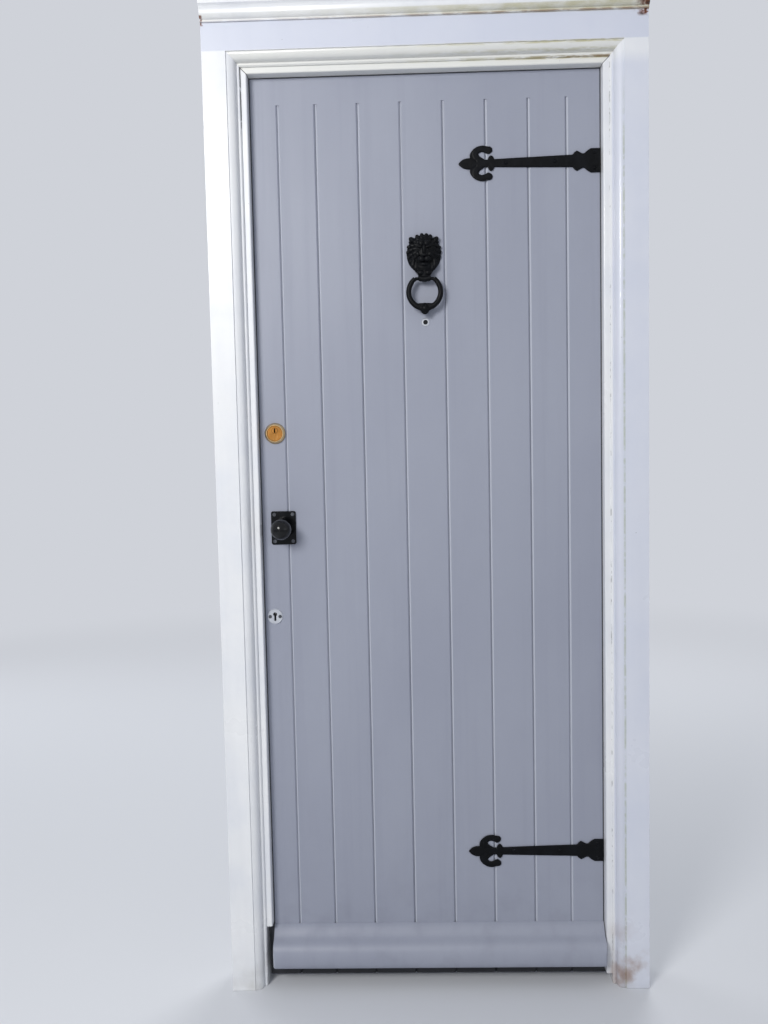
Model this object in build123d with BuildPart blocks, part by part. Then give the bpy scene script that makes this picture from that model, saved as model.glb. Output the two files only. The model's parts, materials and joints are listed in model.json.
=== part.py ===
from build123d import *
from math import cos, radians, sin
import os

os.makedirs("parts", exist_ok=True)

# A boarded entrance door in its frame, seen from outside along +Y.
# X runs from the lock side to the hinge side, Y from outside to inside, Z up.
# The origin is on the floor, under the middle of the whole door. Sizes are in millimetres.

# Leaf
leaf_width = 762.0
leaf_height = 1981.0
leaf_thickness = 44.0
lock_stile_width = 69.0
hinge_stile_width = 82.0
top_rail_height = 67.0
middle_rail_height = 195.0
middle_rail_foot = 880.0
bottom_rail_height = 195.0
brace_width = 90.0
board_thickness = 17.0
board_width = 90.0
whole_boards = 5
board_gap = 0.4
joint_chamfer = 3.2
tongue_inset = 5.0
tongue_thickness = 6.0
tongue_length = 6.0
groove_depth = 7.0
joinery_clearance = 0.2
tenon_thickness = 12.0
tenon_length = 44.0
tenon_inset = 16.0
tenon_shoulder = 6.0

# Gaps round the leaf
side_gap = 3.0
top_gap = 3.0
floor_gap = 10.0

# Frame
leaf_setback = 51.0
jamb_flat = 50.0
head_flat = 57.0
moulding_width = 25.0
moulding_depth = 22.0
moulding_quirk = 3.0
moulding_fillet = 2.5
ovolo_rise = 4.4
drip_height = 38.0
drip_projection = 22.0
drip_fillet = 8.0
drip_toe = 4.0
head_strip = 15.0
post_tenon_width = 26.0
post_tenon_height = 40.0
bead_width = 13.0
bead_depth = 25.0
bead_round = 2.5
bead_clearance = 0.4
bead_crack = 1.0
hinge_bead_foot = 20.0

# Screws through the jambs into the wall
fixing_hole_radius = 3.5
fixing_head_radius = 6.5
fixing_outer_spacing = 1250.0
fixing_inner_spacing = 650.0
fixing_centre_height = 1025.0

# Weatherboard, as projection from the leaf and height over the leaf's foot
weatherboard_foot = 34.0
weatherboard_height = 84.0
weatherboard_projection = 48.0
weatherboard_slope = (13.0, 14.3)
weatherboard_hollow = (28.8, 31.1)
weatherboard_nose = (8.4, 30.2)
weatherboard_toe = 6.2
weatherboard_end_gap = 2.0
weatherboard_corner = 6.0
weatherboard_clearance = 6.0
drip_groove_width = 6.0

# Butt hinges
hinge_length = 100.0
hinge_plate_width = 36.0
hinge_plate = 2.0
knuckle_radius = 5.0
knuckle_count = 5
knuckle_gap = 0.3
knuckle_stand = 0.5
pin_radius = 2.5
pin_head_radius = 4.0
pin_head = 2.0
running_clearance = 0.05
recess_clearance = 0.2
top_hinge_drop = 150.0
bottom_hinge_rise = 225.0

# Countersunk wood screws
screw_head_radius = 3.9
screw_head_depth = 2.2
screw_shank_radius = 1.9
screw_length = 22.0
screw_clearance = 0.05

# Hinge fronts, measured from their hinge end
strap_end_inset = 11.0
strap_length = 306.0
strap_thickness = 4.0
strap_edge = 1.0
strap_root_height = 25.7
strap_tip_height = 14.4
strap_base_height = 50.0
strap_base_length = 27.0
strap_neck_height = 30.0
strap_collar_height = 42.0
strap_collar_place = 50.0
fleur_band_place = 237.0
fleur_band_height = 32.0
fleur_petal_length = 38.0
fleur_petal_height = 23.0
fleur_height = 73.0
fleur_stroke = 9.5
fleur_bulb_radius = 6.8
fleur_band_half_width = 8.0
fleur_tip_overlap = 3.0
curl_root_rise = 3.0
curl_root_overlap = 4.0
curl_reach = 9.0
curl_far_share = 0.55
curl_crown_back = 10.0
curl_end_past_band = 6.0
curl_end_share = 0.82
fleur_middle_share = 0.45
strap_base_straight_share = 0.75
strap_base_shoulder_share = 0.85
strap_neck_length = 4.0
collar_lead = 5.0
collar_lead_share = 0.88
collar_tail = 6.0
collar_tail_share = 0.8
collar_length = 9.0
upper_strap_drop = 200.0
lower_strap_rise = 282.0
dome_radius = 4.5
dome_top_radius = 2.2
dome_height = 2.4

# Knocker, placed from the middle of the upper panel
knocker_offset = -6.0
knocker_rise = 104.5
knocker_half_width = 38.5
knocker_half_height = 46.0
mane_lobes = 13
mane_lobe_radius = 8.6
mane_depth = 9.0
inner_mane_depth = 15.0
face_depth = 24.0
snout_depth = 33.0
jaw_half_width = 17.0
arm_clearance = 0.3
ring_radius = 34.5
ring_section_radius = 5.0
ring_rise = 18.5
trunnion_radius = 3.4
mouth_projection = 20.0
jaw_wall = 1.9
jaw_round = 1.2
jaw_heel = 2.0
ear_radius = 7.0
ear_tip_radius = 4.5
ring_boss_radius = 8.5
ring_boss_height = 24.0
ring_boss_swell = 0.8
ring_boss_end_radius = 2.5
strike_radius = 7.0
strike_clearance = 0.3
strike_edge = 1.5
bolt_radius = 3.0
bolt_head_radius = 7.0
bolt_head_height = 3.0
thread_depth = 6.0
bolt_hole_clearance = 0.3

# Door viewer
viewer_offset = -5.0
viewer_drop = 42.5
viewer_flange_radius = 8.75
viewer_flange = 1.8
viewer_barrel_radius = 6.0
viewer_bore_radius = 5.0
viewer_sleeve_radius = 7.0
viewer_barrel_length = 34.0
viewer_sleeve_start = 8.0
viewer_lens_depth = 3.0
viewer_lens_round = 1.2

# Rim cylinder and nightlatch
cylinder_across = 45.0
cylinder_height = 1221.0
cylinder_ring_radius = 22.5
cylinder_ring_lip = 17.8
cylinder_ring_depth = 9.0
cylinder_ring_edge = 2.0
cylinder_ring_rounding = 0.8
cylinder_radius = 16.2
cylinder_face_depth = 8.0
cylinder_length = 30.0
plug_rise = 6.0
plug_radius = 6.4
plug_stand = 0.6
keyway_width = 2.2
keyway_height = 9.0
keyway_depth = 16.0
tail_width = 6.0
tail_thickness = 1.6
tail_reach = 8.0
nightlatch_width = 68.0
nightlatch_half_height = 45.0
nightlatch_depth = 26.0
nightlatch_wall = 2.5
nightlatch_bolt_length = 40.0
nightlatch_bolt_half_height = 12.4
nightlatch_bolt_thickness = 12.0
nightlatch_bolt_stand = 5.0
nightlatch_bevel = 9.6
bolt_nose = 2.0
case_screw_inset = 9.0
slide_clearance = 0.15
turn_spindle_radius = 4.0
turn_radius = 15.0
turn_projection = 16.0
turn_bar_thickness = 9.0
turn_edge = 1.5
turn_collar = 4.0
turn_clearance = 0.3
turn_spindle_gap = 2.0
snib_rise = 30.0
snib_travel = 8.0
snib_stem = 8.0
snib_stem_height = 4.0
snib_pad_length = 12.0
snib_pad_height = 8.0
snib_pad = 3.0
snib_lap = 1.5
staple_width = 30.0
staple_half_height = 28.0
staple_flange = 2.5
staple_flange_half_height = 42.0
staple_mouth_half_height = 14.0

# Knob set and tubular latch
knob_across = 58.0
knob_height = 1015.0
knob_projection = 70.0
knob_radius = 22.0
knob_neck_radius = 8.0
knob_waist_radius = 7.5
knob_collar_radius = 11.0
knob_collar_stand = 3.0
knob_collar_width = 4.0
knob_collar_edge = 1.0
knob_waist_rise = 3.0
spindle_width = 8.0
spindle_engagement = 18.0
spindle_hole_radius = 6.5
knob_plate_width = 54.0
knob_plate_height = 73.0
knob_plate_thickness = 3.0
knob_plate_corner = 4.0
knob_plate_screw_inset = 7.0
latch_case_radius = 11.0
latch_case_length = 64.5
faceplate = 3.0
faceplate_width = 25.0
faceplate_height = 57.0
latch_bolt_width = 11.0
latch_bolt_height = 15.0
latch_bolt_length = 47.0
latch_bevel = 10.0
latch_throw = 12.0
follower_hole_radius = 5.8
keep_plate = 2.0
keep_width = 22.0
latch_keep_height = 60.0
keep_hole_clearance = 1.0
keep_depth = 5.0

# Mortice deadlock
keyhole_across = 33.5
keyhole_height = 819.0
keyhole_overall = 19.0
keyhole_head_radius = 4.5
keyhole_slot = 4.6
keyhole_ease = 1.0
deadlock_case_depth = 54.0
deadlock_case_thickness = 14.0
deadlock_case_below = 35.0
deadlock_case_above = 50.0
deadlock_wall = 1.5
forend_width = 20.0
forend_margin = 15.0
dead_bolt_rise = 14.0
dead_bolt_height = 22.0
dead_bolt_thickness = 10.0
dead_bolt_length = 48.0
dead_bolt_throw = 20.0
deadlock_keep_height = 70.0
escutcheon_radius = 17.0
escutcheon_thickness = 2.5
escutcheon_screw_place = 11.0

# Planes and faces that the pieces share
frame_depth = leaf_setback + leaf_thickness
frame_face = -(frame_depth + knob_projection - drip_projection) / 2
frame_back = frame_face + frame_depth
leaf_face = frame_face + leaf_setback
leaf_back = leaf_face + leaf_thickness
board_back = leaf_face + board_thickness
leaf_left = -leaf_width / 2
leaf_right = leaf_width / 2
leaf_bottom = floor_gap
leaf_top = leaf_bottom + leaf_height
rebate_half = leaf_width / 2 + side_gap
rebate_top = leaf_top + top_gap
jamb_width = moulding_width + jamb_flat
frame_half = rebate_half + jamb_width
head_flat_foot = rebate_top + moulding_width
drip_foot = head_flat_foot + head_flat
drip_top = drip_foot + drip_height
frame_top = drip_top + head_strip
visible_half = rebate_half - bead_width
visible_top = rebate_top - bead_width
bead_back = leaf_face - bead_clearance
boards_left = leaf_left + lock_stile_width
boards_right = leaf_right - hinge_stile_width
boards_top = leaf_top - top_rail_height
panel_middle_x = (boards_left + boards_right) / 2
tongue_front = leaf_face + tongue_inset
tongue_back = tongue_front + tongue_thickness
tenon_front = leaf_face + tenon_inset
tenon_back = tenon_front + tenon_thickness
middle_rail_bottom = leaf_bottom + middle_rail_foot
middle_rail_top = middle_rail_bottom + middle_rail_height
bottom_rail_top = leaf_bottom + bottom_rail_height
hinge_x = (leaf_right + rebate_half) / 2
hinge_y = leaf_back + knuckle_radius + knuckle_stand
hinge_feet = {
    "top": leaf_top - top_hinge_drop - hinge_length,
    "middle": (leaf_top - top_hinge_drop + leaf_bottom + bottom_hinge_rise - hinge_length) / 2,
    "bottom": leaf_bottom + bottom_hinge_rise,
}
lock_y = leaf_face + leaf_thickness / 2
panel_middle_z = (middle_rail_top + boards_top) / 2
knocker_x = knocker_offset
knocker_z = panel_middle_z + knocker_rise
ring_z = panel_middle_z + ring_rise
trunnion_half_length = (jaw_half_width + arm_clearance) / (1 - ring_section_radius / ring_radius)
trunnion_z = ring_z + (ring_radius**2 - trunnion_half_length**2) ** 0.5
mouth_y = leaf_face - mouth_projection
strike_z = ring_z - ring_radius
viewer_x = viewer_offset
viewer_z = panel_middle_z - viewer_drop
cylinder_x = leaf_left + cylinder_across
cylinder_z = leaf_bottom + cylinder_height
plug_z = cylinder_z + plug_rise
nightlatch_back = leaf_back + nightlatch_depth
knob_x = leaf_left + knob_across
knob_z = leaf_bottom + knob_height
keyhole_x = leaf_left + keyhole_across
keyhole_z = leaf_bottom + keyhole_height
dead_bolt_bottom = keyhole_z + dead_bolt_rise
dead_bolt_top = dead_bolt_bottom + dead_bolt_height
dead_bolt_z = (dead_bolt_bottom + dead_bolt_top) / 2
strap_end = leaf_right - strap_end_inset
upper_strap_z = leaf_top - upper_strap_drop
lower_strap_z = leaf_bottom + lower_strap_rise
outward = (0, -1, 0)
inward = (0, 1, 0)
standing = (Align.CENTER, Align.CENTER, Align.MIN)
hanging = (Align.CENTER, Align.CENTER, Align.MAX)


def front_plane(y):
    """The plane across the door at this depth, drawn as seen from outside."""
    return Plane(origin=(0, y, 0), x_dir=(1, 0, 0), z_dir=outward)


def block(x, y, z, mode=Mode.ADD):
    """Add or cut a straight block between a low and a high limit along each axis."""
    with Locations((x[0], y[0], z[0])):
        Box(x[1] - x[0], y[1] - y[0], z[1] - z[0], align=(Align.MIN,) * 3, mode=mode)


def rod_through(x, z, radius, y, mode=Mode.SUBTRACT):
    """Add or cut a round rod along Y between two depths."""
    with Locations(Plane(origin=(x, y[1], z), z_dir=inward)):
        Cylinder(radius, y[1] - y[0], align=hanging, mode=mode)


def bowed(start, end, rise):
    """The middle of a curve that bows to the left of the way from start to end."""
    across = end[0] - start[0]
    along = end[1] - start[1]
    length = (across**2 + along**2) ** 0.5
    middle_x = (start[0] + end[0]) / 2 - along / length * rise
    middle_y = (start[1] + end[1]) / 2 + across / length * rise
    return (middle_x, middle_y)


def countersunk(length=screw_length, clearance=0.0, mode=Mode.ADD):
    """A countersunk screw pointing down local -Z with the top of its head at the origin."""
    shank = screw_shank_radius + clearance
    Cone(shank, screw_head_radius + clearance, screw_head_depth, align=hanging, mode=mode)
    Cylinder(shank, length, align=hanging, mode=mode)


def moulded_edge(place):
    """Draw the frame's moulded edge, from its flat face to its rebate face."""
    quirk = (moulding_width, moulding_quirk)
    start = (moulding_width - moulding_fillet, moulding_quirk)
    end = (2 * moulding_fillet + 2, moulding_depth - 2 * moulding_fillet)
    step = (end[0], end[1] + moulding_fillet)
    toe = (moulding_fillet, step[1])
    Polyline(place(moulding_width, 0), place(*quirk), place(*start))
    ThreePointArc(place(*start), place(*bowed(start, end, ovolo_rise)), place(*end))
    Polyline(place(*end), place(*step), place(*toe), place(0, moulding_depth))


def post_tenon(side, clearance=0.0, mode=Mode.ADD):
    """The tenon at the top of a jamb, or its mortice in the head."""
    middle = side * (rebate_half + moulding_width + jamb_flat / 2)
    half = post_tenon_width / 2 + clearance
    centre = frame_face + frame_depth / 2
    depth = tenon_thickness / 2 + clearance
    top = head_flat_foot + post_tenon_height + clearance
    block(
        (middle - half, middle + half), (centre - depth, centre + depth), (head_flat_foot, top), mode
    )


def fixing_heights():
    """The heights of the four wall screws in a jamb."""
    halves = (fixing_outer_spacing / 2, fixing_inner_spacing / 2)
    return [fixing_centre_height + sign * half for half in halves for sign in (-1, 1)]


def jamb(side):
    """One moulded post, on the lock side for -1 and on the hinge side for 1."""

    def place(across, depth):
        return (side * (rebate_half + across), frame_face + depth)

    with BuildPart() as post:
        with BuildSketch(Plane.XY):
            with BuildLine():
                moulded_edge(place)
                Polyline(
                    place(0, moulding_depth),
                    place(0, frame_depth),
                    place(jamb_width, frame_depth),
                    place(jamb_width, 0),
                    place(moulding_width, 0),
                )
            make_face()
        extrude(amount=head_flat_foot)
        with BuildSketch(front_plane(frame_face)):
            with BuildLine():
                Polyline(
                    (side * rebate_half, rebate_top),
                    (side * (rebate_half + moulding_width), head_flat_foot),
                    (side * rebate_half, head_flat_foot),
                    close=True,
                )
            make_face()
        extrude(amount=-frame_depth, mode=Mode.SUBTRACT)
        post_tenon(side)
        holes = [
            Plane(origin=(side * rebate_half, lock_y, z), z_dir=(-side, 0, 0))
            for z in fixing_heights()
        ]
        with Locations(*holes):
            CounterSinkHole(fixing_hole_radius, fixing_head_radius, jamb_width)
    return post


def keep_recess(centre_z, height, bolt_width, bolt_height, reach):
    """Cut the seat of a keep plate in the lock jamb, and the mortice behind it."""
    plate_half = keep_width / 2 + recess_clearance
    half_height = height / 2 + recess_clearance
    mouth = bolt_width / 2 + keep_hole_clearance
    mouth_height = bolt_height / 2 + keep_hole_clearance
    wall = -rebate_half
    block(
        (wall - keep_plate, wall),
        (lock_y - plate_half, lock_y + plate_half),
        (centre_z - half_height, centre_z + half_height),
        Mode.SUBTRACT,
    )
    block(
        (wall - reach - keep_depth, wall),
        (lock_y - mouth, lock_y + mouth),
        (centre_z - mouth_height, centre_z + mouth_height),
        Mode.SUBTRACT,
    )


# The two jambs
with BuildPart() as lock_jamb:
    add(jamb(-1).part)
    keep_recess(knob_z, latch_keep_height, latch_bolt_width, latch_bolt_height, latch_throw)
    keep_recess(
        dead_bolt_z, deadlock_keep_height, dead_bolt_thickness, dead_bolt_height, dead_bolt_throw
    )

with BuildPart() as hinge_jamb:
    add(jamb(1).part)
    for foot in hinge_feet.values():
        block(
            (rebate_half, rebate_half + hinge_plate),
            (hinge_y - hinge_plate_width - recess_clearance, frame_back),
            (foot - recess_clearance, foot + hinge_length + recess_clearance),
            Mode.SUBTRACT,
        )


def head_place(across, depth):
    """A point of the head's section, from its rebate face up and from its face inward."""
    return (frame_face + depth, rebate_top + across)


# The head, mitred into the jambs' mouldings and mortised for their tenons
with BuildPart() as head:
    with BuildSketch(Plane.YZ.offset(-frame_half)):
        with BuildLine():
            moulded_edge(head_place)
            Polyline(
                head_place(0, moulding_depth),
                head_place(0, frame_depth),
                head_place(frame_top - rebate_top, frame_depth),
                head_place(frame_top - rebate_top, 0),
                head_place(moulding_width, 0),
            )
        make_face()
    extrude(amount=2 * frame_half)
    for side in (-1, 1):
        with BuildSketch(front_plane(frame_face)):
            with BuildLine():
                Polyline(
                    (side * rebate_half, rebate_top),
                    (side * (rebate_half + moulding_width), head_flat_foot),
                    (side * frame_half, head_flat_foot),
                    (side * frame_half, rebate_top),
                    close=True,
                )
            make_face()
        extrude(amount=-frame_depth, mode=Mode.SUBTRACT)
        post_tenon(side, joinery_clearance, Mode.SUBTRACT)

# The cornice across the head: a toe, an ogee, a plain fillet and a weathered top
with BuildPart() as drip_moulding:
    toe = (frame_face - drip_toe, drip_foot + drip_toe)
    brow = (frame_face - drip_projection, drip_top - drip_fillet)
    waist = ((toe[0] + brow[0]) / 2, (toe[1] + brow[1]) / 2)
    ogee_rise = drip_projection / 9
    with BuildSketch(Plane.YZ.offset(-frame_half)):
        with BuildLine():
            Polyline((frame_face, drip_foot), (frame_face - drip_toe, drip_foot), toe)
            ThreePointArc(toe, bowed(toe, waist, ogee_rise), waist)
            ThreePointArc(waist, bowed(waist, brow, -ogee_rise), brow)
            Polyline(
                brow,
                (frame_face - drip_projection, drip_top),
                (frame_face, drip_top + drip_toe),
                (frame_face, drip_foot),
            )
        make_face()
    extrude(amount=2 * frame_half)

# The planted stop, mitred at the top corners and cut back beside the weatherboard
weatherboard_top = leaf_bottom + weatherboard_foot + weatherboard_height
with BuildPart() as lock_bead:
    with BuildSketch(front_plane(bead_back)):
        with BuildLine():
            Polyline(
                (-rebate_half, weatherboard_top + weatherboard_clearance),
                (-visible_half, weatherboard_top + weatherboard_clearance),
                (-visible_half, visible_top - bead_crack),
                (-rebate_half, rebate_top - bead_crack),
                close=True,
            )
        make_face()
    extrude(amount=bead_depth)
    fillet(lock_bead.edges().filter_by(Axis.Z).group_by(Axis.Y)[0].sort_by(Axis.X)[-1], bead_round)

with BuildPart() as hinge_bead:
    with BuildSketch(front_plane(bead_back)):
        with BuildLine():
            Polyline(
                (rebate_half, hinge_bead_foot),
                (visible_half, hinge_bead_foot),
                (visible_half, visible_top),
                (rebate_half, rebate_top),
                close=True,
            )
        make_face()
    extrude(amount=bead_depth)
    fillet(hinge_bead.edges().filter_by(Axis.Z).group_by(Axis.Y)[0].sort_by(Axis.X)[0], bead_round)

with BuildPart() as head_bead:
    with BuildSketch(front_plane(bead_back)):
        with BuildLine():
            Polyline(
                (-rebate_half, rebate_top),
                (-visible_half, visible_top),
                (visible_half, visible_top),
                (rebate_half, rebate_top),
                close=True,
            )
        make_face()
    extrude(amount=bead_depth)
    fillet(head_bead.edges().filter_by(Axis.X).group_by(Axis.Y)[0].sort_by(Axis.Z)[0], bead_round)


def rail_tenon(side, low, high, clearance=0.0, mode=Mode.ADD):
    """The tenon of a rail into a stile, or its mortice: side is -1 for the lock stile."""
    edge = boards_left if side < 0 else boards_right
    tip = edge + side * (tenon_length + clearance)
    block(
        (min(edge, tip), max(edge, tip)),
        (tenon_front - clearance, tenon_back + clearance),
        (low - clearance, high + clearance),
        mode,
    )


top_tenon = (boards_top + tenon_shoulder, leaf_top - 2 * tenon_shoulder)
middle_tenon = (middle_rail_bottom + tenon_shoulder, middle_rail_bottom + middle_rail_height / 2)
bottom_tenon = (leaf_bottom + 4 * tenon_shoulder, bottom_rail_top - tenon_shoulder)


def stile(left, right, side):
    """A full-height post of the leaf, ploughed and half chamfered along its boards."""
    edge = right if side < 0 else left
    away = -side
    with BuildPart() as post:
        block((left, right), (leaf_face, leaf_back), (leaf_bottom, leaf_top))
        with BuildSketch(Plane.XY.offset(leaf_bottom)):
            with BuildLine():
                Polyline(
                    (edge, leaf_face),
                    (edge - away * joint_chamfer, leaf_face),
                    (edge, leaf_face + joint_chamfer),
                    close=True,
                )
            make_face()
            with BuildLine():
                Polyline(
                    (edge, tongue_front),
                    (edge - away * groove_depth, tongue_front),
                    (edge - away * groove_depth, tongue_back),
                    (edge, tongue_back),
                    close=True,
                )
            make_face()
        extrude(amount=boards_top - leaf_bottom, mode=Mode.SUBTRACT)
        for low, high in (top_tenon, middle_tenon, bottom_tenon):
            rail_tenon(side, low, high, joinery_clearance, Mode.SUBTRACT)
    return post


def keyhole(head_radius, slot, overall):
    """Draw a keyhole in the current front plane: a round head over a narrower slot."""
    head_z = keyhole_z + overall / 2 - head_radius
    foot_z = keyhole_z - overall / 2
    with Locations((keyhole_x, head_z)):
        Circle(head_radius)
    with Locations((keyhole_x, (head_z + foot_z) / 2)):
        Rectangle(slot, head_z - foot_z)


# The lock stile carries the cylinder, the latch and the deadlock
forend_bottom = keyhole_z - deadlock_case_below - forend_margin
forend_top = keyhole_z + deadlock_case_above + forend_margin
faceplate_seat = faceplate_width / 2 + recess_clearance
faceplate_seat_height = faceplate_height / 2 + recess_clearance
forend_seat = forend_width / 2 + recess_clearance
case_seat = deadlock_case_thickness / 2 + recess_clearance
with BuildPart() as lock_stile:
    add(stile(leaf_left, boards_left, -1).part)
    rod_through(cylinder_x, cylinder_z, cylinder_radius + joinery_clearance, (leaf_face, leaf_back))
    rod_through(knob_x, knob_z, spindle_hole_radius, (leaf_face, leaf_back))
    with Locations(Plane(origin=(leaf_left, lock_y, knob_z), z_dir=(1, 0, 0))):
        Cylinder(
            latch_case_radius + joinery_clearance,
            faceplate + latch_case_length + joinery_clearance,
            align=standing,
            mode=Mode.SUBTRACT,
        )
    block(
        (leaf_left, leaf_left + faceplate),
        (lock_y - faceplate_seat, lock_y + faceplate_seat),
        (knob_z - faceplate_seat_height, knob_z + faceplate_seat_height),
        Mode.SUBTRACT,
    )
    block(
        (leaf_left, leaf_left + faceplate),
        (lock_y - forend_seat, lock_y + forend_seat),
        (forend_bottom - recess_clearance, forend_top + recess_clearance),
        Mode.SUBTRACT,
    )
    block(
        (leaf_left, leaf_left + faceplate + deadlock_case_depth + recess_clearance),
        (lock_y - case_seat, lock_y + case_seat),
        (
            keyhole_z - deadlock_case_below - recess_clearance,
            keyhole_z + deadlock_case_above + recess_clearance,
        ),
        Mode.SUBTRACT,
    )
    with BuildSketch(front_plane(leaf_back)):
        keyhole(
            keyhole_head_radius + keyhole_ease,
            keyhole_slot + 2 * keyhole_ease,
            keyhole_overall + 2 * keyhole_ease,
        )
    extrude(amount=leaf_thickness, mode=Mode.SUBTRACT)

with BuildPart() as hinge_stile:
    add(stile(boards_right, leaf_right, 1).part)
    for foot in hinge_feet.values():
        block(
            (leaf_right - hinge_plate, leaf_right),
            (hinge_y - hinge_plate_width - recess_clearance, leaf_back),
            (foot - recess_clearance, foot + hinge_length + recess_clearance),
            Mode.SUBTRACT,
        )

# The rails: the top one full thickness over the boards, the others behind them
with BuildPart() as top_rail:
    block((boards_left, boards_right), (leaf_face, leaf_back), (boards_top, leaf_top))
    block(
        (boards_left, boards_right),
        (tongue_front, tongue_back),
        (boards_top, boards_top + groove_depth),
        Mode.SUBTRACT,
    )
    for side in (-1, 1):
        rail_tenon(side, *top_tenon)

with BuildPart() as middle_rail:
    block(
        (boards_left, boards_right), (board_back, leaf_back), (middle_rail_bottom, middle_rail_top)
    )
    for side in (-1, 1):
        rail_tenon(side, *middle_tenon)

with BuildPart() as bottom_rail:
    block((boards_left, boards_right), (board_back, leaf_back), (leaf_bottom, bottom_rail_top))
    for side in (-1, 1):
        rail_tenon(side, *bottom_tenon)


def brace(low, high):
    """A brace behind the boards that rises from the hinge side to the lock side."""
    middle = ((boards_left + boards_right) / 2, (low + high) / 2)
    across = boards_right - boards_left
    rise = high - low
    length = (across**2 + rise**2) ** 0.5
    with BuildPart() as bar:
        with BuildSketch(front_plane(leaf_back)):
            with Locations(middle):
                Rectangle(across, rise)
            with BuildLine():
                side_x = brace_width / 2 * rise / length
                side_z = brace_width / 2 * across / length
                Polyline(
                    (boards_right + across + side_x, low - rise + side_z),
                    (boards_left - across + side_x, high + rise + side_z),
                    (boards_left - across - side_x, high + rise - side_z),
                    (boards_right + across - side_x, low - rise - side_z),
                    close=True,
                )
            make_face(mode=Mode.INTERSECT)
        extrude(amount=leaf_back - board_back)
    return bar


with BuildPart() as upper_brace:
    add(brace(middle_rail_top, boards_top).part)
    rod_through(
        viewer_x, viewer_z, viewer_sleeve_radius + joinery_clearance, (board_back, leaf_back)
    )
    rod_through(knocker_x, strike_z, bolt_radius + bolt_hole_clearance, (board_back, leaf_back))

with BuildPart() as lower_brace:
    add(brace(bottom_rail_top, middle_rail_bottom).part)


def board(left, right, first):
    """A board with a tongue on its hinge side, and a groove, or a tongue too, on the other."""
    low = left + board_gap / 2
    high = right - board_gap / 2
    tongue_low = tongue_front + joinery_clearance
    tongue_high = tongue_back - joinery_clearance
    if first:
        left_side = [(low, tongue_high), (low - tongue_length, tongue_high)]
        left_side += [(low - tongue_length, tongue_low), (low, tongue_low)]
    else:
        left_side = [(low, tongue_back), (low + groove_depth, tongue_back)]
        left_side += [(low + groove_depth, tongue_front), (low, tongue_front)]
    with BuildPart() as plank:
        with BuildSketch(Plane.XY.offset(leaf_bottom)):
            with BuildLine():
                Polyline(
                    (low + joint_chamfer, leaf_face),
                    (high - joint_chamfer, leaf_face),
                    (high, leaf_face + joint_chamfer),
                    (high, tongue_low),
                    (high + tongue_length, tongue_low),
                    (high + tongue_length, tongue_high),
                    (high, tongue_high),
                    (high, board_back),
                    (low, board_back),
                    *left_side,
                    (low, leaf_face + joint_chamfer),
                    close=True,
                )
            make_face()
        extrude(amount=boards_top - leaf_bottom)
        block(
            (low + groove_depth + joinery_clearance, high),
            (tongue_low, tongue_high),
            (boards_top, boards_top + tongue_length),
        )
    return plank


# The boards, drilled for the knocker and the viewer, and the first one's tongue for the spindle
first_joint = panel_middle_x - whole_boards * board_width / 2
joints = [first_joint + number * board_width for number in range(whole_boards + 1)]
joints = [boards_left, *joints, boards_right]
boards = {}
for number, (left, right) in enumerate(zip(joints, joints[1:]), start=1):
    with BuildPart() as plank:
        add(board(left, right, number == 1).part)
        for x, z, radius in (
            (viewer_x, viewer_z, viewer_sleeve_radius + joinery_clearance),
            (knocker_x, knocker_z, bolt_radius + bolt_hole_clearance),
            (knocker_x, strike_z, bolt_radius + bolt_hole_clearance),
            (knob_x, knob_z, spindle_hole_radius),
        ):
            if left - tongue_length - radius < x < right + tongue_length + radius:
                rod_through(x, z, radius, (leaf_face, board_back))
    boards[f"board_{number}"] = plank

# The weatherboard: a slope, a hollow and a round nose, with a groove under it for the drips
with BuildPart() as weatherboard:
    board_foot = leaf_bottom + weatherboard_foot
    nose = leaf_face - weatherboard_projection
    slope_end = (leaf_face - weatherboard_slope[0], weatherboard_top - weatherboard_slope[1])
    hollow_end = (leaf_face - weatherboard_hollow[0], weatherboard_top - weatherboard_hollow[1])
    nose_foot = (nose, board_foot + weatherboard_nose[0])
    nose_top = (nose, board_foot + weatherboard_nose[1])
    nose_toe = (nose + weatherboard_toe, board_foot)
    with BuildSketch(Plane.YZ.offset(-visible_half + weatherboard_end_gap)):
        with BuildLine():
            Polyline((leaf_face, board_foot), (leaf_face, weatherboard_top), slope_end)
            ThreePointArc(slope_end, bowed(slope_end, hollow_end, 3.0), hollow_end)
            ThreePointArc(hollow_end, bowed(hollow_end, nose_top, -6.0), nose_top)
            Line(nose_top, nose_foot)
            ThreePointArc(nose_foot, bowed(nose_foot, nose_toe, -2.0), nose_toe)
            Line(nose_toe, (leaf_face, board_foot))
        make_face()
        with Locations((leaf_face - weatherboard_projection / 2, board_foot)):
            Circle(drip_groove_width / 2, mode=Mode.SUBTRACT)
    extrude(amount=2 * (visible_half - weatherboard_end_gap))
    with BuildSketch(Plane.XY):
        with Locations((0, leaf_face)):
            RectangleRounded(
                2 * (visible_half - weatherboard_end_gap),
                2 * weatherboard_projection,
                weatherboard_corner,
            )
    extrude(amount=weatherboard_top, mode=Mode.INTERSECT)


def knuckle_limits(foot, number):
    """The low and high end of one knuckle of the hinge that stands on this foot."""
    pitch = hinge_length / knuckle_count
    return (foot + number * pitch + knuckle_gap / 2, foot + (number + 1) * pitch - knuckle_gap / 2)


def hinge_screw_planes(foot, side):
    """The heads of a hinge leaf's screws: side is 1 on the jamb and -1 on the stile."""
    face = rebate_half if side > 0 else leaf_right
    middle = (hinge_y - hinge_plate_width + leaf_back) / 2
    spread = (leaf_back - hinge_y + hinge_plate_width) / 5
    places = []
    for number, share in enumerate((0.15, 0.38, 0.62, 0.85)):
        y = middle + (spread if number % 2 else -spread)
        place = (face, y, foot + share * hinge_length)
        places.append(Plane(origin=place, z_dir=(-side, 0, 0)))
    return places


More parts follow.
